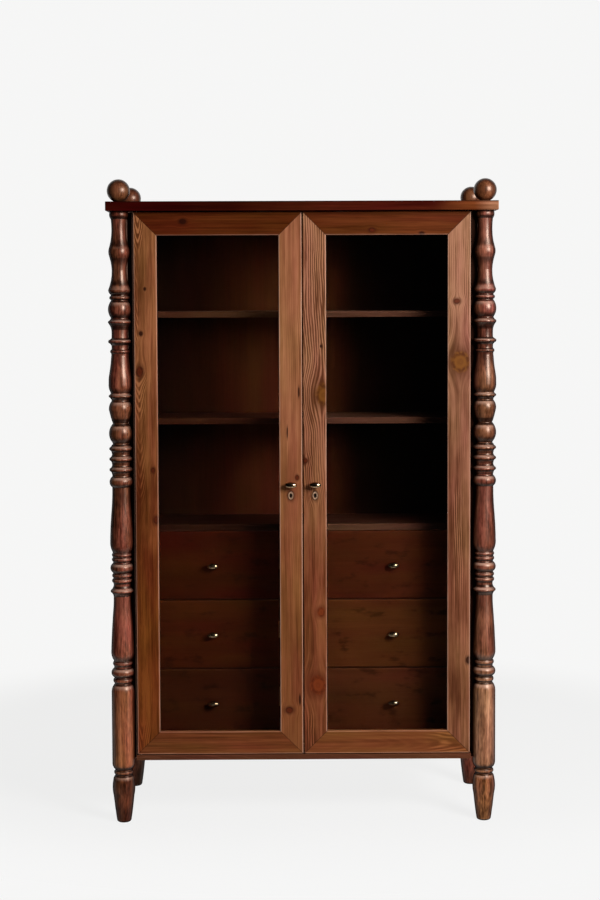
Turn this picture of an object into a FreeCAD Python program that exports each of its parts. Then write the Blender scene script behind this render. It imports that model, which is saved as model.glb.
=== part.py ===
import FreeCAD, Part
import math
import os
from FreeCAD import Vector

# Glazed display cabinet on four turned corner posts.
# Millimetres. X runs across the front, Y from the front (-Y) to the back, Z up.
# The origin is on the floor, under the middle of the top board.

# ---------------------------------------------------------------- carcase
INNER_WIDTH = 1043.0          # between the side panels
SIDE_THICK = 20.0
CASE_DEPTH = 376.0            # side panels, front to back
CASE_BOTTOM = 196.0           # underside of the case above the floor
CASE_HEIGHT = 1705.5          # side panels, bottom to top
BOTTOM_THICK = 16.0
BACK_THICK = 12.0
BACK_REBATE = 10.0            # how far the back panel laps onto each side panel
TOP_THICK = 28.5
TOP_OVERHANG_X = 36.5         # top board past the post axes
TOP_OVERHANG_Y = 48.0
TOP_ROUND = 2.0
EDGE_ROUND = 1.5

# ---------------------------------------------------------------- posts
POST_OUTSET_X = 22.0          # post axis outside the side panel's outer face
POST_OUTSET_Y = 10.0          # post axis in front of the side panel's front edge
POST_RADIUS = 35.5            # plain shaft, balls and flanges
FLANGE_LIP = 34.6             # where a flange's cove meets its rounded edge
FOOT_TIP_RADIUS = 17.5
FINIAL_RADIUS = 35.5
FINIAL_FLAT = 1.0             # depth of the flat that a finial stands on
SPIGOT_RADIUS = 6.0
SPIGOT_GRIP = 35.0            # how far the finial's spigot enters the post
SPIGOT_CLEARANCE = 0.1
SPIGOT_HOLE_SPARE = 1.0       # hole deeper than the spigot

# ---------------------------------------------------------------- shelves
SHELF_THICK = 19.0
SHELF_END_GAP = 0.5
SHELF_SETBACK = 110.0         # shelf fronts behind the side panels' front edges
LOWER_BAY = 319.5             # clear height, drawer bank to lower shelf
MIDDLE_BAY = 318.0            # clear height, lower shelf to upper shelf
PIN_SHANK_RADIUS = 2.5
PIN_SHANK_LENGTH = 10.0
PIN_SPADE = (11.0, 12.0, 3.0)  # reach under the shelf, width, thickness
PIN_INSET = 30.0              # shelf pins from the shelf's front and back edges

# ---------------------------------------------------------------- drawer bank
BANK_PANEL_THICK = 20.0       # base and top panels of the drawer bank
UPRIGHT_THICK = 22.0
CENTRE_STILE_WIDTH = 105.0
CENTRE_STILE_THICK = 20.0
DRAWER_ROWS = 3
DRAWER_FRONT_HEIGHT = 218.5
DRAWER_FRONT_THICK = 20.0
DRAWER_GAP = 2.5              # around every drawer front
BOX_SIDE_THICK = 12.0
BOX_SIDE_HEIGHT = 170.0
BOX_BACK_GAP = 9.0            # drawer box to back panel
BOX_LIFT = 16.0               # box's lower edge above the front's lower edge
BOX_SIDE_GAP = 5.0            # box side to upright
BOX_BOTTOM_THICK = 6.0
BOX_BOTTOM_LIFT = 10.0
BOX_BOTTOM_TONGUE = 4.0
RUNNER_HEIGHT = 14.0
RUNNER_BITE = 6.0             # how far a runner enters the drawer side
RUNNER_CLEARANCE = 0.5
RUNNER_SIDE_CLEARANCE = 1.0
RUNNER_SHORTER = 20.0         # how much shorter a runner is than its drawer side

# ---------------------------------------------------------------- doors
DOOR_THICK = 22.0
DOOR_STANDS_OUT = 3.0         # gap between the door's back and the side panels' front plane
DOOR_SIDE_GAP = 3.5
DOOR_TOP_GAP = 3.5
DOOR_BOTTOM_GAP = 3.0
DOOR_SEAM = 4.0
MEMBER_WIDTH = 71.0
MEMBER_OUTER_ROUND = 1.5
MEMBER_INNER_ROUND = 3.0
REBATE_WIDTH = 9.0
FRONT_LIP = 8.0
GLASS_THICK = 4.0
GLASS_EDGE_GAP = 1.0
BEAD_ROUND = 6.0
PIVOT_INSET = 9.0             # pivot axis from the door's outer edge
PIN_RADIUS = 4.0
PIN_RUNNING_CLEARANCE = 0.06
PIN_IN_DOOR = 35.0
PIN_IN_BOARD = 10.0
PIN_HOLE_SPARE = 1.0
COLLAR_RADIUS = 7.0

# ---------------------------------------------------------------- knobs, keyholes, lock
KNOB_HALF_WIDTH = 18.5
KNOB_HALF_HEIGHT = 10.0
KNOB_END_RADIUS = 7.0
KNOB_STAND = 16.5             # centre of the knob in front of the wood
STEM_RADIUS = 4.5
ROSE_RADIUS = 7.5
ROSE_THICK = 2.2
KNOB_SCREW_RADIUS = 2.0
KNOB_SCREW_HEAD_RADIUS = 4.5
KNOB_SCREW_HEAD_THICK = 2.5
DOOR_KNOB_HEIGHT = 843.0      # knob axis above the door's lower edge
ESCUTCHEON_DROP = 31.0        # keyhole below the knob axis
ESCUTCHEON_HALF_WIDTH = 8.5
ESCUTCHEON_HALF_HEIGHT = 13.0
ESCUTCHEON_RIM = 2.0
ESCUTCHEON_THICK = 1.0
ESCUTCHEON_RIM_THICK = 2.0
KEYHOLE_RADIUS = 3.2
KEYHOLE_SLOT_WIDTH = 4.0
KEYHOLE_DROP = 9.0
BLIND_KEYHOLE_DEPTH = 8.0
LOCK_WIDTH = 50.0
LOCK_HEIGHT = 40.0
LOCK_DEPTH = 12.0
LOCK_WALL = 1.5
LOCK_PIN_RADIUS = 1.25
BOLT_THICK = 6.0
BOLT_HEIGHT = 12.0
BOLT_LENGTH = 30.0
BOLT_NOSE_ROUND = 1.0
BOLT_ABOVE_KEYHOLE = 4.6      # middle of the bolt above the keyhole's round part
BOLT_CLEARANCE = 0.3
BOLT_THROW = 12.0
MORTISE_CLEARANCE = 0.6

# ---------------------------------------------------------------- catches and screws
CATCH_FROM_SEAM = 120.0       # middle of each catch from the cabinet's middle
CATCH_WIDTH = 46.0
CATCH_HEIGHT = 15.0
CATCH_LENGTH = 30.0
CATCH_AIR_GAP = 0.4
PLATE_WIDTH = 38.0
PLATE_HEIGHT = 12.0
PLATE_THICK = 1.5
SCREW_RADIUS = 2.0
SCREW_LENGTH = 35.0
SCREW_HEAD_RADIUS = 4.0
BACK_SCREWS_PER_SIDE = 7
BACK_SCREW_END = 60.0         # outermost back screws from the panel's ends
CROSS_SCREWS = (-350.0, 0.0, 350.0)
POST_SCREW_FROM_EDGE = 16.0   # post screws from the side panel's front and back edges
SHAFT_SCREWS_AT = (0.2, 0.8)  # post screws as shares of the case side beside the plain shaft

# ---------------------------------------------------------------- places
INNER_X = INNER_WIDTH / 2
SIDE_OUTER_X = INNER_X + SIDE_THICK
HALF_CASE_DEPTH = CASE_DEPTH / 2
CASE_FRONT = -HALF_CASE_DEPTH
CASE_BACK = HALF_CASE_DEPTH
BACK_FACE = CASE_BACK - BACK_THICK
CASE_TOP = CASE_BOTTOM + CASE_HEIGHT
FLOOR_OF_CASE = CASE_BOTTOM + BOTTOM_THICK
POST_X = SIDE_OUTER_X + POST_OUTSET_X
POST_Y = HALF_CASE_DEPTH + POST_OUTSET_Y

DOOR_BACK = CASE_FRONT - DOOR_STANDS_OUT
DOOR_FRONT = DOOR_BACK - DOOR_THICK
DOOR_MIDDLE = (DOOR_FRONT + DOOR_BACK) / 2
DOOR_OUTER_X = INNER_X - DOOR_SIDE_GAP
DOOR_INNER_X = DOOR_SEAM / 2
DOOR_WIDTH = DOOR_OUTER_X - DOOR_INNER_X
DOOR_LOW = FLOOR_OF_CASE + DOOR_BOTTOM_GAP
DOOR_TOP = CASE_TOP - DOOR_TOP_GAP
DOOR_HEIGHT = DOOR_TOP - DOOR_LOW
PIVOT_X = DOOR_OUTER_X - PIVOT_INSET
DOOR_KNOB_X = DOOR_INNER_X + MEMBER_WIDTH / 2
DOOR_KNOB_Z = DOOR_LOW + DOOR_KNOB_HEIGHT
KEYHOLE_Z = DOOR_KNOB_Z - ESCUTCHEON_DROP

SHELF_FRONT = CASE_FRONT + SHELF_SETBACK
DRAWER_PITCH = DRAWER_FRONT_HEIGHT + DRAWER_GAP
BANK_FLOOR = FLOOR_OF_CASE + BANK_PANEL_THICK
FIRST_DRAWER_Z = BANK_FLOOR + DRAWER_GAP
BANK_CEILING = FIRST_DRAWER_Z + DRAWER_ROWS * DRAWER_PITCH
BANK_TOP = BANK_CEILING + BANK_PANEL_THICK
LOWER_SHELF_Z = BANK_TOP + LOWER_BAY
UPPER_SHELF_Z = LOWER_SHELF_Z + SHELF_THICK + MIDDLE_BAY

INNER_UPRIGHT_X = CENTRE_STILE_WIDTH / 2
COLUMN_INNER_X = INNER_UPRIGHT_X + UPRIGHT_THICK
COLUMN_OUTER_X = INNER_X - UPRIGHT_THICK
COLUMN_MIDDLE_X = (COLUMN_INNER_X + COLUMN_OUTER_X) / 2
COLUMN_WIDTH = COLUMN_OUTER_X - COLUMN_INNER_X
DRAWER_BACK_OF_FRONT = SHELF_FRONT + DRAWER_FRONT_THICK
BOX_LENGTH = BACK_FACE - BOX_BACK_GAP - DRAWER_BACK_OF_FRONT
RUNNER_LENGTH = BOX_LENGTH - RUNNER_SHORTER
RUNNER_ABOVE_BOX = (BOX_SIDE_HEIGHT - RUNNER_HEIGHT) / 2

LEFT = -1
RIGHT = 1
SAME = 1e-6                   # two coordinates this close are one


# ---------------------------------------------------------------- helpers
def block(x0, x1, y0, y1, z0, z1):
    """A box between two corners, given in either order."""
    xs, ys, zs = sorted((x0, x1)), sorted((y0, y1)), sorted((z0, z1))
    return Part.makeBox(xs[1] - xs[0], ys[1] - ys[0], zs[1] - zs[0], Vector(xs[0], ys[0], zs[0]))


def rod(radius, start, end):
    """A round bar from one point to another."""
    along = end - start
    return Part.makeCylinder(radius, along.Length, start, along)


def edges_on(shape, test):
    """The edges whose middle point passes a test."""
    found = []
    for edge in shape.Edges:
        middle = edge.valueAt((edge.FirstParameter + edge.LastParameter) / 2)
        if test(middle):
            found.append(edge)
    return found


def round_front(shape, radius):
    """Rounds the edges around a board's front face."""
    front = shape.BoundBox.YMin
    return shape.makeFillet(radius, edges_on(shape, lambda p: abs(p.y - front) < SAME))


def round_front_long_edges(shape, radius):
    """Rounds only the two long edges of a board's front face."""
    box = shape.BoundBox
    return shape.makeFillet(radius, edges_on(
        shape, lambda p: abs(p.y - box.YMin) < SAME and abs(p.x - box.Center.x) < SAME))


def mirrored(shape, side):
    """The shape itself on the right, its mirror image on the left."""
    return shape if side == RIGHT else shape.mirror(Vector(0, 0, 0), Vector(1, 0, 0))


def all_corners(shape):
    """A front right piece at each of the four corners of the cabinet."""
    right = [shape, shape.mirror(Vector(0, 0, 0), Vector(0, 1, 0))]
    return right + [mirrored(piece, LEFT) for piece in right]


def outline_face(points_and_arcs, start):
    """A face from straight runs (one point) and arcs (two points: through, to)."""
    edges = []
    here = start
    for step in points_and_arcs:
        there = step[-1]
        if len(step) == 1:
            edges.append(Part.makeLine(here, there))
        else:
            edges.append(Part.Arc(here, step[0], there).toShape())
        here = there
    return Part.Face(Part.Wire(edges))


# ---------------------------------------------------------------- turned posts
# Each turned element, from the floor up: name, height, radius half way up, radius at its top.
FLANGE = [
    ("flange lower cove", 10.0, 29.2, FLANGE_LIP),
    ("flange edge", 7.0, POST_RADIUS, FLANGE_LIP),
    ("flange upper cove", 8.0, 29.8, 27.8),
]

TURNING_BELOW_SHAFT = [
    ("foot edge", 5.0, 21.2, 22.5),
    ("foot taper", 78.0, 28.0, 32.4),
    ("foot swell", 51.0, 35.5, 33.0),
    ("foot shoulder", 13.0, 31.3, 27.3),
    ("ankle groove", 4.0, 26.6, 27.3),
    ("ankle ring", 12.0, 30.4, 27.3),
    ("ankle upper groove", 4.0, 26.6, 27.3),
    ("shaft heel", 17.0, 33.4, POST_RADIUS),
]

TURNING_ABOVE_SHAFT = [
    ("shaft shoulder", 24.0, 33.4, 26.5),
    ("groove 1", 4.0, 25.8, 26.5),
    ("bead 1", 15.0, 30.0, 26.8),
    ("groove 2", 3.0, 26.2, 26.8),
    ("ball 1", 28.0, POST_RADIUS, 27.5),
    ("neck 1", 9.0, 26.8, 28.0),
    ("bead 2", 12.0, 30.6, 28.2),
    ("groove 3", 4.0, 27.4, 28.2),
    ("lower vase base", 30.0, 34.3, POST_RADIUS),
    ("lower vase", 123.0, 32.7, 28.4),
    ("lower vase neck", 48.0, 26.7, 26.4),
    ("long lower cove", 13.0, 28.8, FLANGE_LIP),
    ("long flange edge", 6.0, POST_RADIUS, FLANGE_LIP),
    ("long upper cove", 13.0, 28.8, 26.4),
    ("neck 2", 10.0, 25.9, 27.0),
    ("bead 3", 13.0, 30.9, 27.4),
    ("groove 4", 4.0, 26.8, 27.6),
    ("bead 4", 11.0, 30.5, 28.0),
    ("groove 5", 4.0, 27.3, 28.0),
    ("ball 2", 29.0, POST_RADIUS, 28.0),
    ("groove 6", 6.0, 27.2, 28.2),
    ("bead 5", 11.0, 30.8, 28.5),
    ("groove 7", 4.0, 27.9, 28.5),
    ("bead 6", 10.0, 30.6, 28.5),
    ("groove 8", 4.0, 27.9, 28.5),
    ("middle vase base", 34.0, 34.4, POST_RADIUS),
    ("middle vase", 93.0, 33.9, 30.5),
    ("middle vase neck", 75.0, 28.1, 27.4),
    ("round bead", 33.0, POST_RADIUS, 27.4),
    ("neck 3", 8.0, 26.7, 27.8),
    *FLANGE,
    ("groove 9", 8.0, 27.1, 27.8),
    *FLANGE,
    ("groove 10", 7.0, 27.1, 27.8),
    *FLANGE,
    ("groove 11", 7.5, 24.6, 25.5),
    ("large ball", 58.0, POST_RADIUS, 24.5),
    ("undercut", 4.0, 23.6, 24.5),
    ("cone", 32.0, 29.6, 33.4),
    ("cone cap", 34.0, 34.9, 27.5),
    ("groove 12", 6.0, 26.8, 28.0),
    ("short lower cove", 7.0, 30.2, FLANGE_LIP),
    ("short flange edge", 6.0, POST_RADIUS, FLANGE_LIP),
    ("short upper cove", 5.0, 31.0, 29.8),
    ("groove 13", 3.0, 29.2, 29.8),
    ("upper vase base", 28.0, 34.7, POST_RADIUS),
    ("upper vase", 30.0, 35.2, 33.2),
    ("upper vase neck", 52.0, 29.3, 26.9),
    ("neck 4", 11.0, 26.3, 26.8),
    ("bead 7", 12.0, 29.8, 25.8),
    ("neck 5", 13.0, 25.2, 25.8),
    ("disc lower cove", 7.0, 28.6, 33.6),
    ("disc edge", 9.0, POST_RADIUS, 33.6),
    ("disc upper cove", 6.0, 28.4, 25.3),
    ("neck 6", 25.0, 24.8, 25.3),
    ("bell", 20.0, 28.0, 33.8),
    ("bell edge", 8.0, POST_RADIUS, 33.8),
    ("bell cap", 6.0, 30.0, 27.6),
    ("groove 14", 5.0, 26.9, 27.6),
    ("ball 3", 50.0, 35.1, 26.8),
    ("groove 15", 4.0, 26.0, 26.8),
    ("bead 8", 12.0, 30.8, 27.0),
    ("groove 16", 4.0, 26.4, 27.0),
    ("flare base", 14.0, 32.6, 34.0),
    ("flare", 60.0, 25.2, 22.5),
    ("ridge lower slope", 42.0, 24.5, 29.5),
    ("ridge", 30.0, 32.3, 29.5),
    ("ridge upper slope", 49.0, 24.3, 22.3),
    ("top flare", 35.7, 22.6, 24.0),
    ("cap bead", 24.0, 28.8, 27.0),
]


def height_of(elements):
    return sum(element[1] for element in elements)


SHAFT_LENGTH = CASE_TOP - height_of(TURNING_BELOW_SHAFT) - height_of(TURNING_ABOVE_SHAFT)
SHAFT_BOTTOM = height_of(TURNING_BELOW_SHAFT)
TURNING = TURNING_BELOW_SHAFT + [("shaft", SHAFT_LENGTH, POST_RADIUS, POST_RADIUS)] + TURNING_ABOVE_SHAFT


def top_of(name):
    """Height above the floor of the top of a turned element."""
    names = [element[0] for element in TURNING]
    return height_of(TURNING[:names.index(name) + 1])


def turned_post():
    """A post on the Z axis, turned between the floor and the top board."""
    radius = FOOT_TIP_RADIUS
    z = 0.0
    steps = [[Vector(radius, 0, 0)]]
    for _, height, middle, end in TURNING:
        through = Vector(middle, 0, z + height / 2)
        to = Vector(end, 0, z + height)
        straight = abs(middle - (radius + end) / 2) < SAME
        steps.append([to] if straight else [through, to])
        radius = end
        z += height
    steps.append([Vector(0, 0, z)])
    steps.append([Vector(0, 0, 0)])
    face = outline_face(steps, Vector(0, 0, 0))
    return face.revolve(Vector(0, 0, 0), Vector(0, 0, 1), 360)


def corner_post():
    """The front right post, rebated around the corner of the case and bored for its finial."""
    post = turned_post()
    post.translate(Vector(POST_X, -POST_Y, 0))
    case_corner = block(0, SIDE_OUTER_X, CASE_FRONT, 0, CASE_BOTTOM, CASE_TOP)
    bore_end = CASE_TOP - SPIGOT_GRIP - SPIGOT_HOLE_SPARE
    bore = rod(SPIGOT_RADIUS + SPIGOT_CLEARANCE, Vector(POST_X, -POST_Y, bore_end),
               Vector(POST_X, -POST_Y, CASE_TOP))
    return post.cut(case_corner).cut(bore)


def finial():
    """The front right ball, flattened underneath, with a spigot down through the top board."""
    centre_z = CASE_TOP + TOP_THICK + FINIAL_RADIUS - FINIAL_FLAT
    ball = Part.makeSphere(FINIAL_RADIUS, Vector(POST_X, -POST_Y, centre_z))
    below = block(POST_X - FINIAL_RADIUS, POST_X + FINIAL_RADIUS, -POST_Y - FINIAL_RADIUS,
                  -POST_Y + FINIAL_RADIUS, centre_z - 2 * FINIAL_RADIUS, CASE_TOP + TOP_THICK)
    spigot = rod(SPIGOT_RADIUS, Vector(POST_X, -POST_Y, CASE_TOP - SPIGOT_GRIP),
                 Vector(POST_X, -POST_Y, centre_z))
    return ball.cut(below).fuse(spigot).removeSplitter()


# ---------------------------------------------------------------- screws
def countersunk_screw(point, direction):
    """A countersunk wood screw whose flat head lies flush at the point."""
    head_depth = SCREW_HEAD_RADIUS - SCREW_RADIUS
    head = Part.makeCone(SCREW_HEAD_RADIUS, SCREW_RADIUS, head_depth, point, direction)
    shank = Part.makeCylinder(SCREW_RADIUS, SCREW_LENGTH, point, direction)
    return head.fuse(shank).removeSplitter()


def back_screws():
    """Screws through the back panel into the side panels, the bank top and the bottom board."""
    screws = []
    run = CASE_HEIGHT - 2 * BACK_SCREW_END
    for index in range(BACK_SCREWS_PER_SIDE):
        z = CASE_BOTTOM + BACK_SCREW_END + run * index / (BACK_SCREWS_PER_SIDE - 1)
        for side in (LEFT, RIGHT):
            x = side * (INNER_X + BACK_REBATE / 2)
            screws.append(countersunk_screw(Vector(x, CASE_BACK, z), Vector(0, -1, 0)))
    for z in (CASE_BOTTOM + BOTTOM_THICK / 2, BANK_TOP - BANK_PANEL_THICK / 2):
        for x in CROSS_SCREWS:
            screws.append(countersunk_screw(Vector(x, CASE_BACK, z), Vector(0, -1, 0)))
    return screws


def post_screws():
    """Screws from inside the case through the side panels into the thick parts of the posts."""
    case_beside_shaft = SHAFT_BOTTOM + SHAFT_LENGTH - CASE_BOTTOM
    levels = [CASE_BOTTOM + share * case_beside_shaft for share in SHAFT_SCREWS_AT]
    levels += [top_of(name) for name in ("lower vase base", "middle vase base", "upper vase base")]
    screws = []
    for z in levels:
        first = countersunk_screw(Vector(INNER_X, CASE_FRONT + POST_SCREW_FROM_EDGE, z), Vector(1, 0, 0))
        screws += all_corners(first)
    return screws


# ---------------------------------------------------------------- carcase boards
def top_board():
    half_x = POST_X + TOP_OVERHANG_X
    half_y = POST_Y + TOP_OVERHANG_Y
    board = block(-half_x, half_x, -half_y, half_y, CASE_TOP, CASE_TOP + TOP_THICK)
    board = board.makeFillet(TOP_ROUND, board.Edges)
    hole = rod(SPIGOT_RADIUS + SPIGOT_CLEARANCE, Vector(POST_X, -POST_Y, CASE_TOP),
               Vector(POST_X, -POST_Y, CASE_TOP + TOP_THICK))
    for copy in all_corners(hole) + pivot_holes(CASE_TOP, 1):
        board = board.cut(copy)
    return board


def pivot_holes(face_z, upward):
    """Blind holes for both doors' pivot pins, up or down from a board's face."""
    deep = upward * (PIN_IN_BOARD + PIN_HOLE_SPARE)
    return [rod(PIN_RADIUS + PIN_RUNNING_CLEARANCE, Vector(side * PIVOT_X, DOOR_MIDDLE, face_z),
                Vector(side * PIVOT_X, DOOR_MIDDLE, face_z + deep)) for side in (LEFT, RIGHT)]


def bottom_board(screws):
    board = block(-INNER_X, INNER_X, DOOR_FRONT, BACK_FACE, CASE_BOTTOM, FLOOR_OF_CASE)
    board = round_front_long_edges(board, EDGE_ROUND)
    for cutter in pivot_holes(FLOOR_OF_CASE, -1) + screws:
        board = board.cut(cutter)
    return board


def side_panel(screws):
    """The right side panel, rebated at the back for the back panel, drilled for shelf pins."""
    panel = block(INNER_X, SIDE_OUTER_X, CASE_FRONT, CASE_BACK, CASE_BOTTOM, CASE_TOP)
    rebate = block(INNER_X, INNER_X + BACK_REBATE, BACK_FACE, CASE_BACK, CASE_BOTTOM, CASE_TOP)
    panel = panel.cut(rebate)
    for cutter in screws + pins_on_right():
        panel = panel.cut(cutter)
    return panel


def back_panel(screws):
    half = INNER_X + BACK_REBATE
    panel = block(-half, half, BACK_FACE, CASE_BACK, CASE_BOTTOM, CASE_TOP)
    for screw in screws:
        panel = panel.cut(screw)
    return panel


# ---------------------------------------------------------------- shelves
def shelf(underside):
    end = INNER_X - SHELF_END_GAP
    board = block(-end, end, SHELF_FRONT, BACK_FACE, underside, underside + SHELF_THICK)
    return round_front_long_edges(board, EDGE_ROUND)


def shelf_pin(y, shelf_z):
    """A right-hand shelf pin: round shank in the side panel, flat spade under the shelf."""
    reach, width, thick = PIN_SPADE
    spade = block(INNER_X - reach, INNER_X, y - width / 2, y + width / 2, shelf_z - thick, shelf_z)
    axis_z = shelf_z - thick - PIN_SHANK_RADIUS
    shank = rod(PIN_SHANK_RADIUS, Vector(INNER_X - reach, y, axis_z),
                Vector(INNER_X + PIN_SHANK_LENGTH, y, axis_z))
    web = block(INNER_X - reach, INNER_X, y - PIN_SHANK_RADIUS / 2, y + PIN_SHANK_RADIUS / 2,
                axis_z, shelf_z - thick)
    return spade.fuse([shank, web]).removeSplitter()


def pins_on_right():
    pins = []
    for shelf_z in (LOWER_SHELF_Z, UPPER_SHELF_Z):
        for y in (SHELF_FRONT + PIN_INSET, BACK_FACE - PIN_INSET):
            pins.append(shelf_pin(y, shelf_z))
    return pins


# ---------------------------------------------------------------- drawer bank
def bank_panel(underside, screws):
    board = block(-INNER_X, INNER_X, SHELF_FRONT, BACK_FACE, underside, underside + BANK_PANEL_THICK)
    board = round_front_long_edges(board, EDGE_ROUND)
    for screw in screws:
        board = board.cut(screw)
    return board


def bank_uprights():
    """Four equal uprights: one each side of the centre stile, one against each side panel."""
    return [block(side * x, side * (x + UPRIGHT_THICK), SHELF_FRONT, BACK_FACE, BANK_FLOOR, BANK_CEILING)
            for side in (LEFT, RIGHT) for x in (INNER_UPRIGHT_X, COLUMN_OUTER_X)]


def centre_stile():
    return block(-INNER_UPRIGHT_X, INNER_UPRIGHT_X, SHELF_FRONT, SHELF_FRONT + CENTRE_STILE_THICK,
                 BANK_FLOOR, BANK_CEILING)


def drawer_z(row):
    """Lower edge of a drawer front; row 1 is the top drawer."""
    return FIRST_DRAWER_Z + (DRAWER_ROWS - row) * DRAWER_PITCH


def runner_z(row):
    return drawer_z(row) + BOX_LIFT + RUNNER_ABOVE_BOX


def drawer_runners():
    """A strip on each upright face that a drawer side's groove slides along."""
    strips = []
    wide = BOX_SIDE_GAP + RUNNER_BITE
    front = DRAWER_BACK_OF_FRONT + RUNNER_CLEARANCE
    for side in (LEFT, RIGHT):
        for row in range(1, DRAWER_ROWS + 1):
            for x, inward in ((COLUMN_INNER_X, 1), (COLUMN_OUTER_X, -1)):
                strips.append(block(side * x, side * (x + inward * wide), front, front + RUNNER_LENGTH,
                                    runner_z(row), runner_z(row) + RUNNER_HEIGHT))
    return strips


def drawer_front(side, row):
    """A drawer front, grooved inside for the drawer bottom and drilled for its knob."""
    x = side * COLUMN_MIDDLE_X
    half = COLUMN_WIDTH / 2 - DRAWER_GAP
    z = drawer_z(row)
    panel = block(x - half, x + half, SHELF_FRONT, DRAWER_BACK_OF_FRONT, z, z + DRAWER_FRONT_HEIGHT)
    panel = round_front(panel, EDGE_ROUND)
    knob_hole = rod(KNOB_SCREW_RADIUS, Vector(x, SHELF_FRONT, z + DRAWER_FRONT_HEIGHT / 2),
                    Vector(x, DRAWER_BACK_OF_FRONT, z + DRAWER_FRONT_HEIGHT / 2))
    return panel.cut(box_bottom(side, row)).cut(knob_hole)


def box_half_width():
    return COLUMN_WIDTH / 2 - BOX_SIDE_GAP


def box_bottom(side, row):
    x = side * COLUMN_MIDDLE_X
    half = box_half_width() - BOX_SIDE_THICK + BOX_BOTTOM_TONGUE
    z = drawer_z(row) + BOX_LIFT + BOX_BOTTOM_LIFT
    return block(x - half, x + half, DRAWER_BACK_OF_FRONT - BOX_BOTTOM_TONGUE,
                 DRAWER_BACK_OF_FRONT + BOX_LENGTH, z, z + BOX_BOTTOM_THICK)


def drawer_box(side, row):
    """Two grooved sides, a back and a bottom, behind the drawer front."""
    x = side * COLUMN_MIDDLE_X
    half = box_half_width()
    low = drawer_z(row) + BOX_LIFT
    high = low + BOX_SIDE_HEIGHT
    front = DRAWER_BACK_OF_FRONT
    back = front + BOX_LENGTH
    bottom = box_bottom(side, row)
    groove_depth = RUNNER_BITE + RUNNER_SIDE_CLEARANCE
    pieces = []
    for end in (-1, 1):
        outer = x + end * half
        board = block(outer, outer - end * BOX_SIDE_THICK, front, back, low, high)
        groove = block(outer, outer - end * groove_depth, front, back,
                       runner_z(row) - RUNNER_CLEARANCE, runner_z(row) + RUNNER_HEIGHT)
        pieces.append(board.cut(groove).cut(bottom))
    inner = half - BOX_SIDE_THICK
    pieces.append(block(x - inner, x + inner, back - BOX_SIDE_THICK, back, bottom.BoundBox.ZMax, high))
    pieces.append(bottom)
    return pieces


# ---------------------------------------------------------------- knobs and keyholes
def opposite(point):
    """The point's mirror image across X = 0."""
    return Vector(-point.x, point.y, point.z)


def egg(centre):
    """An egg lying along X: tight arcs at its ends, one long arc over its middle."""
    end_x = KNOB_HALF_WIDTH - KNOB_END_RADIUS
    rise = KNOB_HALF_HEIGHT - KNOB_END_RADIUS
    middle_radius = (end_x ** 2 + KNOB_HALF_HEIGHT ** 2 - KNOB_END_RADIUS ** 2) / (2 * rise)
    reach = KNOB_END_RADIUS / (middle_radius - KNOB_END_RADIUS)
    join = Vector(end_x * (1 + reach), 0, (middle_radius - KNOB_HALF_HEIGHT) * reach)
    lean = math.atan2(join.z, join.x - end_x) / 2
    on_end = Vector(end_x + KNOB_END_RADIUS * math.cos(lean), 0, KNOB_END_RADIUS * math.sin(lean))
    pole = Vector(KNOB_HALF_WIDTH, 0, 0)
    crown = Vector(0, 0, KNOB_HALF_HEIGHT)
    steps = [[opposite(on_end), opposite(join)], [crown, join], [on_end, pole], [opposite(pole)]]
    solid = outline_face(steps, opposite(pole)).revolve(Vector(0, 0, 0), Vector(1, 0, 0), 360)
    solid.translate(centre)
    return solid


def knob(x, wood_front, wood_back, z):
    """An egg-shaped knob lying across, on a stem and rose, and the screw that holds it from behind."""
    centre = Vector(x, wood_front - KNOB_STAND, z)
    stem = rod(STEM_RADIUS, Vector(x, wood_front, z), centre)
    rose = Part.makeCone(ROSE_RADIUS, STEM_RADIUS, ROSE_THICK, Vector(x, wood_front, z), Vector(0, -1, 0))
    bore = rod(KNOB_SCREW_RADIUS, Vector(x, wood_front, z), centre)
    brass = egg(centre).fuse([stem, rose]).cut(bore)
    shank = rod(KNOB_SCREW_RADIUS, centre, Vector(x, wood_back, z))
    head = rod(KNOB_SCREW_HEAD_RADIUS, Vector(x, wood_back, z),
               Vector(x, wood_back + KNOB_SCREW_HEAD_THICK, z))
    head = head.makeFillet(KNOB_SCREW_HEAD_THICK / 2, edges_on(
        head, lambda p: abs(p.y - wood_back - KNOB_SCREW_HEAD_THICK) < SAME))
    return [brass, shank.fuse(head).removeSplitter()]


def keyhole(x, y0, y1):
    """The keyhole's shape, from y0 to y1."""
    round_part = rod(KEYHOLE_RADIUS, Vector(x, y0, KEYHOLE_Z), Vector(x, y1, KEYHOLE_Z))
    slot = block(x - KEYHOLE_SLOT_WIDTH / 2, x + KEYHOLE_SLOT_WIDTH / 2, y0, y1,
                 KEYHOLE_Z - KEYHOLE_DROP, KEYHOLE_Z)
    return round_part.fuse(slot).removeSplitter()


def oval_plate(x, inset, thick):
    """An upright oval plate on the door's front face, smaller all round by the inset."""
    centre = Vector(x, DOOR_FRONT, KEYHOLE_Z - (KEYHOLE_DROP - KEYHOLE_RADIUS) / 2)
    ellipse = Part.Ellipse(Vector(0, 0, 0), ESCUTCHEON_HALF_HEIGHT - inset, ESCUTCHEON_HALF_WIDTH - inset)
    face = Part.Face(Part.Wire([ellipse.toShape()]))
    face.rotate(Vector(0, 0, 0), Vector(0, 0, 1), 90)
    face.rotate(Vector(0, 0, 0), Vector(1, 0, 0), 90)
    face.translate(centre)
    return face.extrude(Vector(0, -thick, 0))


def escutcheon(x):
    rim = oval_plate(x, 0, ESCUTCHEON_RIM_THICK)
    hollow = oval_plate(x, ESCUTCHEON_RIM, ESCUTCHEON_RIM_THICK)
    floor = oval_plate(x, 0, ESCUTCHEON_THICK)
    plate = rim.cut(hollow).fuse(floor).removeSplitter()
    return plate.cut(keyhole(x, DOOR_FRONT - ESCUTCHEON_RIM_THICK, DOOR_FRONT))


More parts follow.
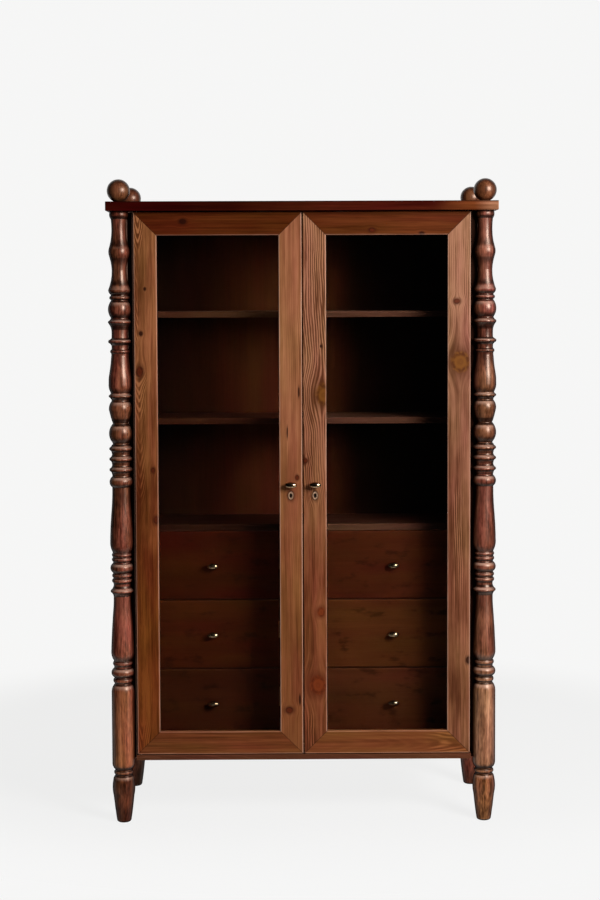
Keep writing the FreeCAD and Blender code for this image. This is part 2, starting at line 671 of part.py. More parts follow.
# ---------------------------------------------------------------- doors
def mitred(profile, length, width):
    """Extrudes a profile (Y depth, Z width inwards) along X and mitres both ends."""
    bar = profile.extrude(Vector(length, 0, 0))
    corners = [Vector(0, 0, 0), Vector(length, 0, 0), Vector(length - width, 0, width),
               Vector(width, 0, width), Vector(0, 0, 0)]
    trapezium = Part.Face(Part.makePolygon(corners)).extrude(Vector(0, DOOR_THICK, 0))
    return bar.common(trapezium)


def frame_of_four(profile, width, inset):
    """Bottom, inner, top and outer pieces of a mitred frame for the right door."""
    x0, x1 = DOOR_INNER_X + inset, DOOR_OUTER_X - inset
    z0, z1 = DOOR_LOW + inset, DOOR_TOP - inset
    places = {
        "bottom": (x1 - x0, 0, Vector(x0, DOOR_FRONT, z0)),
        "outer": (z1 - z0, -90, Vector(x1, DOOR_FRONT, z0)),
        "top": (x1 - x0, 180, Vector(x1, DOOR_FRONT, z1)),
        "inner": (z1 - z0, 90, Vector(x0, DOOR_FRONT, z1)),
    }
    pieces = {}
    for name, (length, turn, corner) in places.items():
        piece = mitred(profile, length, width)
        piece.rotate(Vector(0, 0, 0), Vector(0, 1, 0), turn)
        piece.translate(corner)
        pieces[name] = piece
    return pieces


def rounded_corner(corner, before, after, radius):
    """Outline steps that round a corner between the directions towards two neighbours."""
    start = corner + before * radius
    end = corner + after * radius
    through = corner + (before + after) * radius * (1 - math.sqrt(0.5))
    return [[start], [through, end]]


def member_profile():
    """Cross-section of a frame member: rounded front edges, glazing rebate behind."""
    y, z = Vector(0, 1, 0), Vector(0, 0, 1)
    back, edge = DOOR_THICK, MEMBER_WIDTH
    steps = rounded_corner(Vector(0, 0, 0), y, z, MEMBER_OUTER_ROUND)
    steps += rounded_corner(Vector(0, 0, edge), -z, y, MEMBER_INNER_ROUND)
    steps += [[Vector(0, FRONT_LIP, edge)], [Vector(0, FRONT_LIP, edge - REBATE_WIDTH)],
              [Vector(0, back, edge - REBATE_WIDTH)], [Vector(0, back, 0)]]
    start = steps.pop(0)[0]
    return outline_face(steps + [[start]], start)


def bead_profile():
    """Cross-section of a glazing bead, rounded where it faces the cabinet's inside."""
    y, z = Vector(0, 1, 0), Vector(0, 0, 1)
    front = FRONT_LIP + GLASS_THICK
    steps = [[Vector(0, front, 0)], [Vector(0, front, REBATE_WIDTH)]]
    steps += rounded_corner(Vector(0, DOOR_THICK, REBATE_WIDTH), -y, -z, BEAD_ROUND)
    steps += [[Vector(0, DOOR_THICK, 0)], [Vector(0, front, 0)]]
    return outline_face(steps[1:], steps[0][0])


def door_glass():
    inset = MEMBER_WIDTH - REBATE_WIDTH + GLASS_EDGE_GAP
    front = DOOR_FRONT + FRONT_LIP
    return block(DOOR_INNER_X + inset, DOOR_OUTER_X - inset, front, front + GLASS_THICK,
                 DOOR_LOW + inset, DOOR_TOP - inset)


def pivot_pins():
    """The right door's two pins; the lower one carries the door on its collar."""
    top = rod(PIN_RADIUS, Vector(PIVOT_X, DOOR_MIDDLE, DOOR_TOP - PIN_IN_DOOR),
              Vector(PIVOT_X, DOOR_MIDDLE, CASE_TOP + PIN_IN_BOARD))
    low = rod(PIN_RADIUS, Vector(PIVOT_X, DOOR_MIDDLE, FLOOR_OF_CASE - PIN_IN_BOARD),
              Vector(PIVOT_X, DOOR_MIDDLE, DOOR_LOW + PIN_IN_DOOR))
    collar = rod(COLLAR_RADIUS, Vector(PIVOT_X, DOOR_MIDDLE, FLOOR_OF_CASE),
                 Vector(PIVOT_X, DOOR_MIDDLE, DOOR_LOW))
    return [top, low.fuse(collar).removeSplitter()]


# ---------------------------------------------------------------- lock, on the right door
BOLT_Z = KEYHOLE_Z + BOLT_ABOVE_KEYHOLE
LOCK_FRONT = DOOR_BACK - LOCK_DEPTH
LOCK_MIDDLE = (LOCK_FRONT + DOOR_BACK) / 2


def lock_body():
    """The outside of the lock, let into the back of the right door's inner stile."""
    return block(DOOR_INNER_X, DOOR_INNER_X + LOCK_WIDTH, LOCK_FRONT, DOOR_BACK,
                 KEYHOLE_Z - LOCK_HEIGHT / 2, KEYHOLE_Z + LOCK_HEIGHT / 2)


def bolt_space(x0, x1, clearance):
    """The bolt's cross-section grown by a clearance, between two places along X."""
    half_y = BOLT_THICK / 2 + clearance
    half_z = BOLT_HEIGHT / 2 + clearance
    return block(x0, x1, LOCK_MIDDLE - half_y, LOCK_MIDDLE + half_y, BOLT_Z - half_z, BOLT_Z + half_z)


def lock_case():
    """A hollow case with a slot for the bolt, a keyhole and a pin for the key."""
    inside = block(DOOR_INNER_X + LOCK_WALL, DOOR_INNER_X + LOCK_WIDTH - LOCK_WALL,
                   LOCK_FRONT + LOCK_WALL, DOOR_BACK - LOCK_WALL,
                   KEYHOLE_Z - LOCK_HEIGHT / 2 + LOCK_WALL, KEYHOLE_Z + LOCK_HEIGHT / 2 - LOCK_WALL)
    case = lock_body().cut(inside).cut(bolt_space(0, DOOR_INNER_X + LOCK_WALL, BOLT_CLEARANCE))
    case = case.cut(keyhole(DOOR_KNOB_X, LOCK_FRONT, LOCK_FRONT + LOCK_WALL))
    key_pin = rod(LOCK_PIN_RADIUS, Vector(DOOR_KNOB_X, LOCK_FRONT, KEYHOLE_Z),
                  Vector(DOOR_KNOB_X, DOOR_BACK, KEYHOLE_Z))
    return case.fuse(key_pin).removeSplitter()


def lock_bolt():
    """The sliding bolt, drawn back flush with the door's edge, its nose slightly rounded."""
    front = DOOR_INNER_X + BOLT_CLEARANCE
    bolt = bolt_space(front, front + BOLT_LENGTH, 0)
    return bolt.makeFillet(BOLT_NOSE_ROUND, edges_on(bolt, lambda p: abs(p.x - front) < SAME))


def bolt_mortise():
    """The hole for the bolt in the left door's inner stile."""
    reach = BOLT_THROW - DOOR_INNER_X - BOLT_CLEARANCE + MORTISE_CLEARANCE
    return bolt_space(-DOOR_INNER_X - reach, -DOOR_INNER_X, MORTISE_CLEARANCE)


# ---------------------------------------------------------------- catches
def catch(side):
    """A magnetic catch under the top board, just behind a closed door's top rail."""
    x = side * CATCH_FROM_SEAM
    front = DOOR_BACK + PLATE_THICK + CATCH_AIR_GAP
    body = block(x - CATCH_WIDTH / 2, x + CATCH_WIDTH / 2, front, front + CATCH_LENGTH,
                 CASE_TOP - CATCH_HEIGHT, CASE_TOP)
    return round_front(body, EDGE_ROUND)


def catch_plate(side):
    """The steel plate on the back of a door's top rail that its catch holds."""
    x = side * CATCH_FROM_SEAM
    top = CASE_TOP - (CATCH_HEIGHT - PLATE_HEIGHT) / 2 - DOOR_TOP_GAP
    return block(x - PLATE_WIDTH / 2, x + PLATE_WIDTH / 2, DOOR_BACK, DOOR_BACK + PLATE_THICK,
                 top - PLATE_HEIGHT, top)


# ---------------------------------------------------------------- assembly
def add_door(nodes, side):
    """One door: four mitred members, glass, beads, knob, keyhole plate, pins and catch plate."""
    name = "left_door" if side == LEFT else "right_door"
    members = frame_of_four(member_profile(), MEMBER_WIDTH, 0)
    knob_pieces = knob(DOOR_KNOB_X, DOOR_FRONT, DOOR_BACK, DOOR_KNOB_Z)
    pins = pivot_pins()
    for place, member in members.items():
        for pin in pins:
            member = member.cut(pin)
        if place == "inner":
            member = member.cut(rod(KNOB_SCREW_RADIUS, Vector(DOOR_KNOB_X, DOOR_FRONT, DOOR_KNOB_Z),
                                    Vector(DOOR_KNOB_X, DOOR_BACK, DOOR_KNOB_Z)))
            if side == RIGHT:
                member = member.cut(keyhole(DOOR_KNOB_X, DOOR_FRONT, LOCK_FRONT)).cut(lock_body())
            else:
                member = member.cut(keyhole(DOOR_KNOB_X, DOOR_FRONT, DOOR_FRONT + BLIND_KEYHOLE_DEPTH))
                member = member.cut(mirrored(bolt_mortise(), LEFT))
        kind = "rail" if place in ("top", "bottom") else "stile"
        nodes[f"{name}_{place}_{kind}"] = [mirrored(member, side)]
    beads = frame_of_four(bead_profile(), REBATE_WIDTH, MEMBER_WIDTH - REBATE_WIDTH)
    nodes[name + "_glass"] = [mirrored(door_glass(), side)]
    nodes[name + "_glazing_beads"] = [mirrored(bead, side) for bead in beads.values()]
    nodes[name + "_knob"] = [mirrored(piece, side) for piece in knob_pieces]
    nodes[name + "_escutcheon"] = [mirrored(escutcheon(DOOR_KNOB_X), side)]
    nodes[name + "_pivot_pins"] = [mirrored(pin, side) for pin in pins]
    nodes[name + "_catch_plate"] = [catch_plate(side)]


def add_drawers(nodes):
    for side in (LEFT, RIGHT):
        for row in range(1, DRAWER_ROWS + 1):
            name = f"drawer_{'left' if side == LEFT else 'right'}_{row}"
            knob_z = drawer_z(row) + DRAWER_FRONT_HEIGHT / 2
            nodes[name + "_front"] = [drawer_front(side, row)]
            nodes[name + "_box"] = drawer_box(side, row)
            nodes[name + "_knob"] = knob(side * COLUMN_MIDDLE_X, SHELF_FRONT, DRAWER_BACK_OF_FRONT, knob_z)


def build():
    into_back = back_screws()
    into_posts = post_screws()
    nodes = {"top_board": [top_board()]}
    corners = ("front_right", "rear_right", "front_left", "rear_left")
    for corner, post in zip(corners, all_corners(corner_post())):
        for screw in into_posts:
            if screw.BoundBox.intersect(post.BoundBox):
                post = post.cut(screw)
        nodes["post_" + corner] = [post]
    nodes["ball_finials"] = all_corners(finial())
    right_side = side_panel([s for s in into_back + into_posts if s.BoundBox.Center.x > INNER_X])
    nodes["side_panel_right"] = [right_side]
    nodes["side_panel_left"] = [mirrored(right_side, LEFT)]
    nodes["back_panel"] = [back_panel(into_back)]
    nodes["bottom_board"] = [bottom_board(into_back)]
    nodes["case_screws"] = into_back + into_posts
    nodes["upper_shelf"] = [shelf(UPPER_SHELF_Z)]
    nodes["lower_shelf"] = [shelf(LOWER_SHELF_Z)]
    nodes["shelf_pins"] = [mirrored(pin, side) for pin in pins_on_right() for side in (LEFT, RIGHT)]
    nodes["drawer_bank_top"] = [bank_panel(BANK_CEILING, into_back)]
    nodes["drawer_bank_base"] = [bank_panel(FLOOR_OF_CASE, into_back)]
    nodes["bank_uprights"] = bank_uprights()
    nodes["centre_stile"] = [centre_stile()]
    nodes["drawer_runners"] = drawer_runners()
    nodes["door_catches"] = [catch(LEFT), catch(RIGHT)]
    for side in (LEFT, RIGHT):
        add_door(nodes, side)
    nodes["lock_case"] = [lock_case()]
    nodes["lock_bolt"] = [lock_bolt()]
    add_drawers(nodes)
    return nodes


def save(nodes):
    os.makedirs("parts", exist_ok=True)
    for name, solids in nodes.items():
        shape = solids[0] if len(solids) == 1 else Part.makeCompound(solids)
        shape.exportStep(f"parts/{name}.step")


save(build())
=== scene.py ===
import math
from dataclasses import dataclass

import bpy
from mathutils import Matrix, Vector


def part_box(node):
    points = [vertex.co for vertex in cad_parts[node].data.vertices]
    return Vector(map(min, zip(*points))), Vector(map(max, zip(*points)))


# Glazed display cabinet with turned corner posts: materials, studio and camera
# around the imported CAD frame. Metres; X to the right, Y to the back, Z up.

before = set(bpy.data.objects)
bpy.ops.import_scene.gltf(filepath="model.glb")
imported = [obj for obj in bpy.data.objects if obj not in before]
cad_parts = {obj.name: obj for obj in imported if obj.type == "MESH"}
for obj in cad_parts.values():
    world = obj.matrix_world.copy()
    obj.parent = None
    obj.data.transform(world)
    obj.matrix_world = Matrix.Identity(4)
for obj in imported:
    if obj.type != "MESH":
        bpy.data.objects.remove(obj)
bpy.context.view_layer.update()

X, Y, Z = range(3)                 # the axes of a place, a direction or a corner

# ------------------------------------------------------------------ picture
PICTURE_HEIGHT = 900               # pixels
FOCAL_PIXELS = 1691.3
SENSOR = 36.0                      # millimetres over the picture's height
OPTICAL_AXIS_ROW = 395.0           # the row of the picture that the lens points at
CAMERA_PLACE = (-0.0496, -5.4202, 1.6328)
CAMERA_PITCH = math.radians(-3.265)
CAMERA_YAW = math.radians(-0.467)
CAMERA_ROLL = math.radians(0.21)

# ------------------------------------------------------------------ light
KEY_AZIMUTH = math.radians(41.5)   # to the right of straight in front
KEY_HEIGHT_ANGLE = math.radians(20.0)
KEY_DISTANCE = 3.6
KEY_SIZE = 1.3
KEY_POWER = 151.0
LIGHT_AIM = Vector((0.0, -0.2, 1.25))
AMBIENT = 0.13
FRONT_GLOW = 0.004                 # what gloss mirrors of the dim room in front of the backdrop
BACKGROUND = (0.922, 0.922, 0.918, 1.0)
WORLD_BEHIND = (0.3, 0.8)          # Y of a direction, from the room's side to the backdrop's
FLOOR_MIDDLE = (0.0, 0.75)
FLOOR_REACH = (2.1, 1.75)          # half sizes of the oval floor
FLOOR_STEPS = 96                   # corners of that oval
FLOOR_BEHIND = (-0.6, 0.2)         # Y of the floor, from the room's side to the backdrop's
FLOOR_FADE = (0.58, 0.94)          # shares of its reach over which its shading fades into the background
FLOOR_SHADING = 0.10               # share of real shading in the floor's colour


# ------------------------------------------------------------------ node graphs
class Graph:
    """The nodes of one material or world. Each method adds a node and returns its output."""

    def __init__(self, owner):
        owner.use_nodes = True
        self.owner = owner
        self.nodes = owner.node_tree.nodes
        self.links = owner.node_tree.links
        self.nodes.clear()

    def add(self, kind, **settings):
        """Add a node and return the node itself."""
        node = self.nodes.new("ShaderNode" + kind)
        for key, value in settings.items():
            setattr(node, key, value)
        return node

    def feed(self, socket, value):
        """Link another node's output to a socket, or set the socket to a plain value."""
        if isinstance(value, bpy.types.NodeSocket):
            self.links.new(value, socket)
        else:
            socket.default_value = value

    def math(self, operation, *values):
        node = self.add("Math", operation=operation)
        for socket, value in zip(node.inputs, values):
            self.feed(socket, value)
        return node.outputs[0]

    def vector_math(self, operation, *values):
        node = self.add("VectorMath", operation=operation)
        for socket, value in zip(node.inputs, values):
            self.feed(socket, value)
        return node.outputs["Value" if operation == "LENGTH" else "Vector"]

    def place(self):
        """X, Y and Z in the shared frame; a moving piece takes them along."""
        split = self.add("SeparateXYZ")
        self.feed(split.inputs[0], self.add("TexCoord").outputs["Object"])
        return split.outputs[:]

    def facing(self):
        """X, Y and Z of the surface's own direction."""
        split = self.add("SeparateXYZ")
        self.feed(split.inputs[0], self.add("TexCoord").outputs["Normal"])
        return split.outputs[:]

    def vector(self, x, y, z):
        node = self.add("CombineXYZ")
        for socket, value in zip(node.inputs, (x, y, z)):
            self.feed(socket, value)
        return node.outputs[0]

    def noise(self, vector, scale=1.0, detail=2.0, roughness=0.5):
        """Smooth noise about zero, from roughly -0.5 to 0.5."""
        node = self.add("TexNoise")
        self.feed(node.inputs["Vector"], vector)
        node.inputs["Scale"].default_value = scale
        node.inputs["Detail"].default_value = detail
        node.inputs["Roughness"].default_value = roughness
        return self.math("SUBTRACT", node.outputs[0], 0.5)

    def ramp(self, value, low, high, to_low=0.0, to_high=1.0):
        """A smooth step from to_low to to_high as the value goes from low to high."""
        node = self.add("MapRange", interpolation_type="SMOOTHSTEP")
        for socket, number in zip(node.inputs, (value, low, high, to_low, to_high)):
            self.feed(socket, number)
        return node.outputs[0]

    def mix(self, factor, first, second):
        """The first colour, and more of the second as the factor goes from 0 to 1."""
        node = self.add("Mix", data_type="RGBA")
        factor_socket, first_socket, second_socket = node.inputs[0], node.inputs[6], node.inputs[7]
        self.feed(factor_socket, factor)
        self.feed(first_socket, first)
        self.feed(second_socket, second)
        return node.outputs[2]

    def tones(self, value, colours):
        """Colours spread evenly from 0 to 1."""
        node = self.add("ValToRGB")
        node.color_ramp.interpolation = "B_SPLINE"
        stops = node.color_ramp.elements
        while len(stops) < len(colours):
            stops.new(0.5)
        for index, colour in enumerate(colours):
            stops[index].position = index / (len(colours) - 1)
            stops[index].color = (*colour, 1.0)
        self.feed(node.inputs[0], value)
        return node.outputs[0]

    def hue_drift(self, colour, noise, reach):
        """Let the hue wander by up to twice the reach, between redder and yellower."""
        node = self.add("HueSaturation")
        self.feed(node.inputs["Hue"], self.math("MULTIPLY_ADD", noise, reach * 4.0, 0.5))
        self.feed(node.inputs["Color"], colour)
        return node.outputs[0]

    def relief(self, height, strength, distance):
        """A surface direction with small bumps of the given height."""
        node = self.add("Bump")
        node.inputs["Strength"].default_value = strength
        node.inputs["Distance"].default_value = distance
        self.feed(node.inputs["Height"], height)
        return node.outputs[0]

    def finish(self, shader, output="OutputMaterial"):
        """Close the graph with its shader and return the material or world."""
        self.links.new(shader, self.add(output).inputs["Surface"])
        return self.owner


def srgb(red, green, blue):
    """A colour from 0-255 display values to linear."""
    linear = []
    for level in (red, green, blue):
        share = level / 255
        linear.append(share / 12.92 if share <= 0.04045 else ((share + 0.055) / 1.055) ** 2.4)
    return tuple(linear)


# ------------------------------------------------------------------ stained pine
KNOT_COLOURS = {                   # heart and rim of each kind of knot
    "dark": (srgb(46, 15, 7), srgb(34, 10, 5)),
    "amber": (srgb(126, 76, 27), srgb(74, 34, 12)),
    "red": (srgb(96, 36, 15), srgb(54, 18, 8)),
    "russet": (srgb(126, 54, 22), srgb(84, 31, 13)),
}
# Dark joints, and the colour of all painted shade.
SEAM_AND_SHADE_COLOUR = (*srgb(26, 8, 4), 1.0)
# Pale worn edges, and the colour of painted highlights.
RUBBED_AND_HIGHLIGHT_COLOUR = (*srgb(206, 162, 140), 1.0)
WAX_TINT = (*srgb(255, 222, 200), 1.0)
GRAIN_ORDER = {"Z": (0, 1, 2), "X": (2, 1, 0), "flat": (1, 2, 0), "side": (1, 0, 2), "deep": (0, 2, 1)}
SEED_STEP = 3.7                    # metres along the grain from one seed's stretch of noise to the next
LINES_MEAN = 0.22                  # the wood between ring lines is darker by this share of their strength
WEAKEST_LINES = 0.3                # the contrast of ring lines falls to this share of itself in places
DRIFT_RINGS = 4.0                  # how many rings the lines drift and ripple, times their wander
RIPPLE_RINGS = 0.9
RELIEF_HEIGHT = 0.0006             # metres

# Noises of the wood, in waves per metre across and along the grain.
RAGGED = (55.0, 12.0)
RING_DRIFT = (9.0, 3.4)
RING_RIPPLE = (70.0, 15.0)
LINE_BREAKS = (120.0, 7.0)
LINE_STRENGTH = (18.0, 3.0)
WINDOW_EDGE = (30.0, 9.0)
FIBRES = (230.0, 9.0)
STREAKS = (85.0, 1.8)
BLOTCHES = (13.0, 4.5)
SMUDGES = (26.0, 12.0)
FLECKS = (190.0, 45.0)
HUES = (19.0, 3.2)
KNOT_PATCHES = (75.0, 60.0)

# Ramps, each (from, to, value there, value here): the value goes from the third to the fourth
# number while what is measured goes from the first to the second.
LINE_BREAK_RAMP = (-0.2, 0.16, 0.3, 1.0)
KNOT_PULL = (0.0, 1.0, 0.9, 0.0)             # share of its offset from the knot by which the grain gives way
KNOT_HALO = (0.9, 1.9, 0.5, 0.0)             # by distance in the knot's own radii, as the next two
KNOT_BODY = (0.75, 1.15, 0.88, 0.0)
KNOT_RIM = (0.45, 0.8, 0.0, 1.0)
KNOT_RIM_BREAKS = (-0.14, 0.1, 0.05, 0.75)
MITRE_LINE = (0.0004, 0.0018, 0.75, 0.0)     # by distance from the joint
BACKWARD_FACES = (0.5, 0.9, 0.0, 1.0)        # by the Y of the surface's direction
FORWARD_FACES = (-0.9, -0.5, 1.0, 0.0)
FACES_ALONG_Y = (0.4, 0.8, 0.0, 1.0)
ARRIS_PATCHES = (-0.25, 0.1, 0.3, 1.0)
# Where a turned post gets painted shade, in its grooves and undersides, and painted highlights on its upward
# rims.
GROOVE_RADIUS = (0.0275, 0.0305, 1.0, 0.0)   # by distance from a post's axis
GROOVE_SLOPE = (0.08, 0.3, 0.3, 1.0)         # by the Z of the surface's direction, as the next one
UNDERSIDE = (-0.5, -0.12, 1.0, 0.0)
RIM_RADIUS = (0.0285, 0.031, 0.0, 1.0)
RIM_SLOPE = (0.15, 0.6, 0.0, 1.0)
GLOSS_BY_HEIGHT = (0.02, 0.4, 0.2, 1.0)      # the feet of the posts are duller
GLOSS_PATCHES = (-0.2, 0.2, 0.5, 1.5)

# The first two numbers of ramps whose values come from a piece's look.
STRENGTH_PATCHES = (-0.2, 0.2)
SMUDGE_EDGE = (0.04, 0.2)
WORN_EDGE = (0.0004, 0.0042)                 # metres from an edge of the piece's box
PALE_ARRIS_EDGE = (0.001, 0.0044)
PAINTED_SHADE_FACES = (0.6, 0.95)                     # share of the surface's direction that lies along the axis
GLOSS_LIMB = (0.3, 0.7)

# Other measures of the marks.
KNOT_REACH = (3.4, 3.6)                      # half sizes over which a knot bends the grain
KNOT_SWIRL = 4.0                             # how far patches of noise shift a knot's own rings
KNOT_RINGS = 12.0                            # radians of those rings for each radius of the knot
KNOT_RING_DEPTH = 0.12
KNOT_DARKNESS = 0.25                         # share of the rim's colour in its heart
WINDOW_SIDES = (0.75, 1.25)                  # shares of its half width over which a window fades
WINDOW_ENDS = 0.03                           # metres, likewise before and after each end
EDGE_RAGGEDNESS = 0.003                      # metres
WINDOW_RAGGEDNESS = 0.02                     # metres
KNOT_RAGGEDNESS = 0.55                       # radii of the knot
FADE_UNEVENNESS = 0.3                        # share of the fade's own reach
RIM_HIGHLIGHT_SHARE = 0.65
CREVICE_SHADE_SHARE = 0.92
DARK_LINE_CORE = 0.3                              # share of a dark edge line's width that is evenly dark
GLOSS_UNEVENNESS = (0.14, 0.3)               # what blotches and streaks change of the roughness


@dataclass
class PineLook:
    """What tells one piece of stained, waxed pine from another. Places are metres in the shared
    frame, across and along the grain."""

    grain: str                         # a key of GRAIN_ORDER
    colours: list                      # its tones, from dark to pale
    seed: float
    centre: tuple = (0.0, 0.0)         # X and Y of a turned post's axis
    pith: tuple = (0.0, 0.035)         # the tree's middle, across and through the piece
    ring: float = 0.0045               # from one growth ring to the next
    lean: float = 0.05                 # how far the rings move out for each metre along the grain
    wander: float = 1.2                # how far the rings stray
    thin: float = 0.2                  # half the width of a ring's pale line, as a share of the ring
    figure: float = 0.3                # contrast of those lines
    windows: tuple = ()                # where the front shows more: (across, half width, from, to, contrast)
    streak: float = 0.5                # contrast of long streaks
    fibre: float = 0.3                 # contrast of fine fibres
    mottle: float = 0.35               # contrast of blotchy stain
    smudge: float = 0.0                # depth of dark smudges
    drift: float = 0.012               # how far the hue wanders
    knots: tuple = ()                  # (across, along, half width, half length, kind)
    fades: tuple = ()                  # (axis, from, to, colours): tones that take over along an axis
    behind: list = None                # the tones of faces that look backwards
    box: tuple = None                  # the piece's own box, where its edges are worn paler
    wear: float = 0.35                 # how much paler
    arris: float = 0.0                 # how pale its edges are on faces that look along Y: worn on the doors, a painted highlight on a side panel
    dark_faces: tuple = None           # (axis, depth): painted shade, faces that look along that axis are darker
    dirty_edge: tuple = None           # (height, width, share): a dark edge on faces that look along Y
    mitre: tuple = None                # the outline of the door that a member is mitred into
    turned: float = 0.0                # contrast of flecks on a turned post, which also gets painted shade in its grooves and undersides and painted highlights on its upward rims
    dark_limb: tuple = None            # the ramp of painted shade by which a round piece darkens where it turns away
    roughness: float = 0.4
    specular: float = 0.15
    bump: float = 0.12


class Wood:
    """The places of one piece across, through and along its grain, and the noises its marks share."""

    def __init__(self, g, look):
        self.g = g
        self.place = g.place()
        self.across, self.through, self.along = (self.place[index] for index in GRAIN_ORDER[look.grain])
        if look.centre != (0.0, 0.0):
            self.across = g.math("SUBTRACT", self.across, look.centre[0])
            self.through = g.math("SUBTRACT", self.through, look.centre[1])
        self.shifted = g.math("ADD", self.along, look.seed * SEED_STEP)
        self.bent = self.across
        for knot in look.knots:
            self.bend_around(*knot[:4])
        self.ragged = self.noise(RAGGED)
        self.fibres = self.noise(FIBRES, detail=3.0, roughness=0.65)
        self.streaks = self.noise(STREAKS, detail=4.0, roughness=0.68)
        self.blotches = self.noise(BLOTCHES, detail=3.0, follow_knots=False)
        self.off_edge = None if look.box is None else self.edge_distance(look.box)

    def bend_around(self, knot_across, knot_along, half_width, half_length):
        """Push the grain aside round a knot, to about three and a half times its size."""
        g = self.g
        offset = g.math("SUBTRACT", self.across, knot_across)
        rise = g.math("SUBTRACT", self.along, knot_along)
        reach = g.vector_math("LENGTH", g.vector(
            g.math("DIVIDE", offset, KNOT_REACH[0] * half_width),
            g.math("DIVIDE", rise, KNOT_REACH[1] * half_length), 0.0))
        self.bent = g.math("SUBTRACT", self.bent, g.math("MULTIPLY", offset, g.ramp(reach, *KNOT_PULL)))

    def noise(self, waves, detail=2.0, roughness=0.5, follow_knots=True):
        """Noise with so many waves per metre across and along the grain."""
        g = self.g
        sideways = self.bent if follow_knots else self.across
        spread = g.vector(g.math("MULTIPLY", sideways, waves[0]), g.math("MULTIPLY", self.through, waves[0]),
                          g.math("MULTIPLY", self.shifted, waves[1]))
        return g.noise(spread, detail=detail, roughness=roughness)

    def edge_distance(self, box):
        """Ragged distance to the nearest edge of the piece's box, for a point on its surface."""
        g = self.g
        low, high = box
        gaps = []
        for axis in (X, Y, Z):
            middle = (low[axis] + high[axis]) / 2
            half = (high[axis] - low[axis]) / 2
            off_middle = g.math("ABSOLUTE", g.math("SUBTRACT", self.place[axis], middle))
            gaps.append(g.math("SUBTRACT", half, off_middle))
        smaller = g.math("MINIMUM", gaps[0], gaps[1])
        larger = g.math("MAXIMUM", gaps[0], gaps[1])
        second = g.math("MAXIMUM", smaller, g.math("MINIMUM", larger, gaps[2]))
        return g.math("MULTIPLY_ADD", self.ragged, EDGE_RAGGEDNESS, second)

    def faces_along(self, axis):
        """How squarely the surface looks along an axis, one way or the other."""
        return self.g.math("ABSOLUTE", self.g.facing()[axis])


def ring_lines(wood, look):
    """Thin pale lines where growth rings meet the surface, 0 between them and up to 1 along them."""
    g = wood.g
    from_pith = g.vector_math("LENGTH", g.vector(
        g.math("SUBTRACT", wood.bent, look.pith[0]), g.math("SUBTRACT", wood.through, look.pith[1]), 0.0))
    rings = g.math("DIVIDE", g.math("MULTIPLY_ADD", wood.shifted, look.lean, from_pith), look.ring)
    rings = g.math("MULTIPLY_ADD", wood.noise(RING_DRIFT, detail=1.0), look.wander * DRIFT_RINGS, rings)
    rings = g.math("MULTIPLY_ADD", wood.noise(RING_RIPPLE), look.wander * RIPPLE_RINGS, rings)
    lines = g.ramp(g.math("PINGPONG", rings, 0.5), 0.5 - look.thin, 0.5)
    return g.math("MULTIPLY", lines, g.ramp(wood.noise(LINE_BREAKS, detail=1.0), *LINE_BREAK_RAMP))


def figure_mask(wood, windows):
    """Where the rings show strongly on the front, in windows of soft, ragged outline."""
    g = wood.g
    mask = 0.0
    for middle, half, low, high, strength in windows:
        edge_noise = wood.noise(WINDOW_EDGE, follow_knots=False)
        ragged = g.math("MULTIPLY_ADD", edge_noise, WINDOW_RAGGEDNESS, wood.across)
        off_middle = g.math("ABSOLUTE", g.math("SUBTRACT", ragged, middle))
        beside = g.ramp(off_middle, half * WINDOW_SIDES[0], half * WINDOW_SIDES[1], 1.0, 0.0)
        above = g.ramp(wood.along, low - WINDOW_ENDS, low + WINDOW_ENDS)
        below = g.ramp(wood.along, high - WINDOW_ENDS, high + WINDOW_ENDS, 1.0, 0.0)
        inside = g.math("MULTIPLY", g.math("MULTIPLY", beside, g.math("MULTIPLY", above, below)), strength)
        mask = g.math("MAXIMUM", mask, inside)
    return g.math("MULTIPLY", mask, g.ramp(g.facing()[Y], *FORWARD_FACES))


def line_strength(wood, look):
    """Contrast of the ring lines from place to place."""
    g = wood.g
    patches = wood.noise(LINE_STRENGTH, detail=1.0, follow_knots=False)
    strength = g.ramp(patches, *STRENGTH_PATCHES, WEAKEST_LINES * look.figure, look.figure)
    if look.windows:
        strength = g.math("ADD", strength, figure_mask(wood, look.windows))
    return strength


def wood_tone(wood, look, lines, strength):
    """How pale the wood is, about 0.5, from all its marks."""
    g = wood.g
    tone = g.math("MULTIPLY_ADD", g.math("SUBTRACT", lines, LINES_MEAN), strength, 0.5)
    tone = g.math("MULTIPLY_ADD", wood.streaks, look.streak, tone)
    tone = g.math("MULTIPLY_ADD", wood.fibres, look.fibre, tone)
    tone = g.math("MULTIPLY_ADD", wood.blotches, look.mottle, tone)
    if look.smudge:
        dirt = wood.noise(SMUDGES, detail=3.0, roughness=0.6, follow_knots=False)
        tone = g.math("ADD", tone, g.ramp(dirt, *SMUDGE_EDGE, 0.0, -look.smudge))
    if look.turned:
        tone = g.math("MULTIPLY_ADD", wood.noise(FLECKS, follow_knots=False), look.turned, tone)
    if look.box is not None:
        tone = g.math("ADD", tone, g.ramp(wood.off_edge, *WORN_EDGE, look.wear, 0.0))
    return tone


def stained(wood, look, tone):
    """The tone as a colour, with the other tones that take over from the piece's own: stains, and painted
    light and shade.
    """
    g = wood.g
    colour = g.tones(tone, look.colours)
    for axis, start, stop, far_colours in look.fades:
        uneven = g.math("MULTIPLY_ADD", wood.blotches, FADE_UNEVENNESS * abs(stop - start), wood.place[axis])
        share = g.ramp(uneven, min(start, stop), max(start, stop), float(start > stop), float(start < stop))
        colour = g.mix(share, colour, g.tones(tone, far_colours))
    if look.behind is not None:
        colour = g.mix(g.ramp(g.facing()[Y], *BACKWARD_FACES), colour, g.tones(tone, look.behind))
    return g.hue_drift(colour, wood.noise(HUES, follow_knots=False), look.drift)


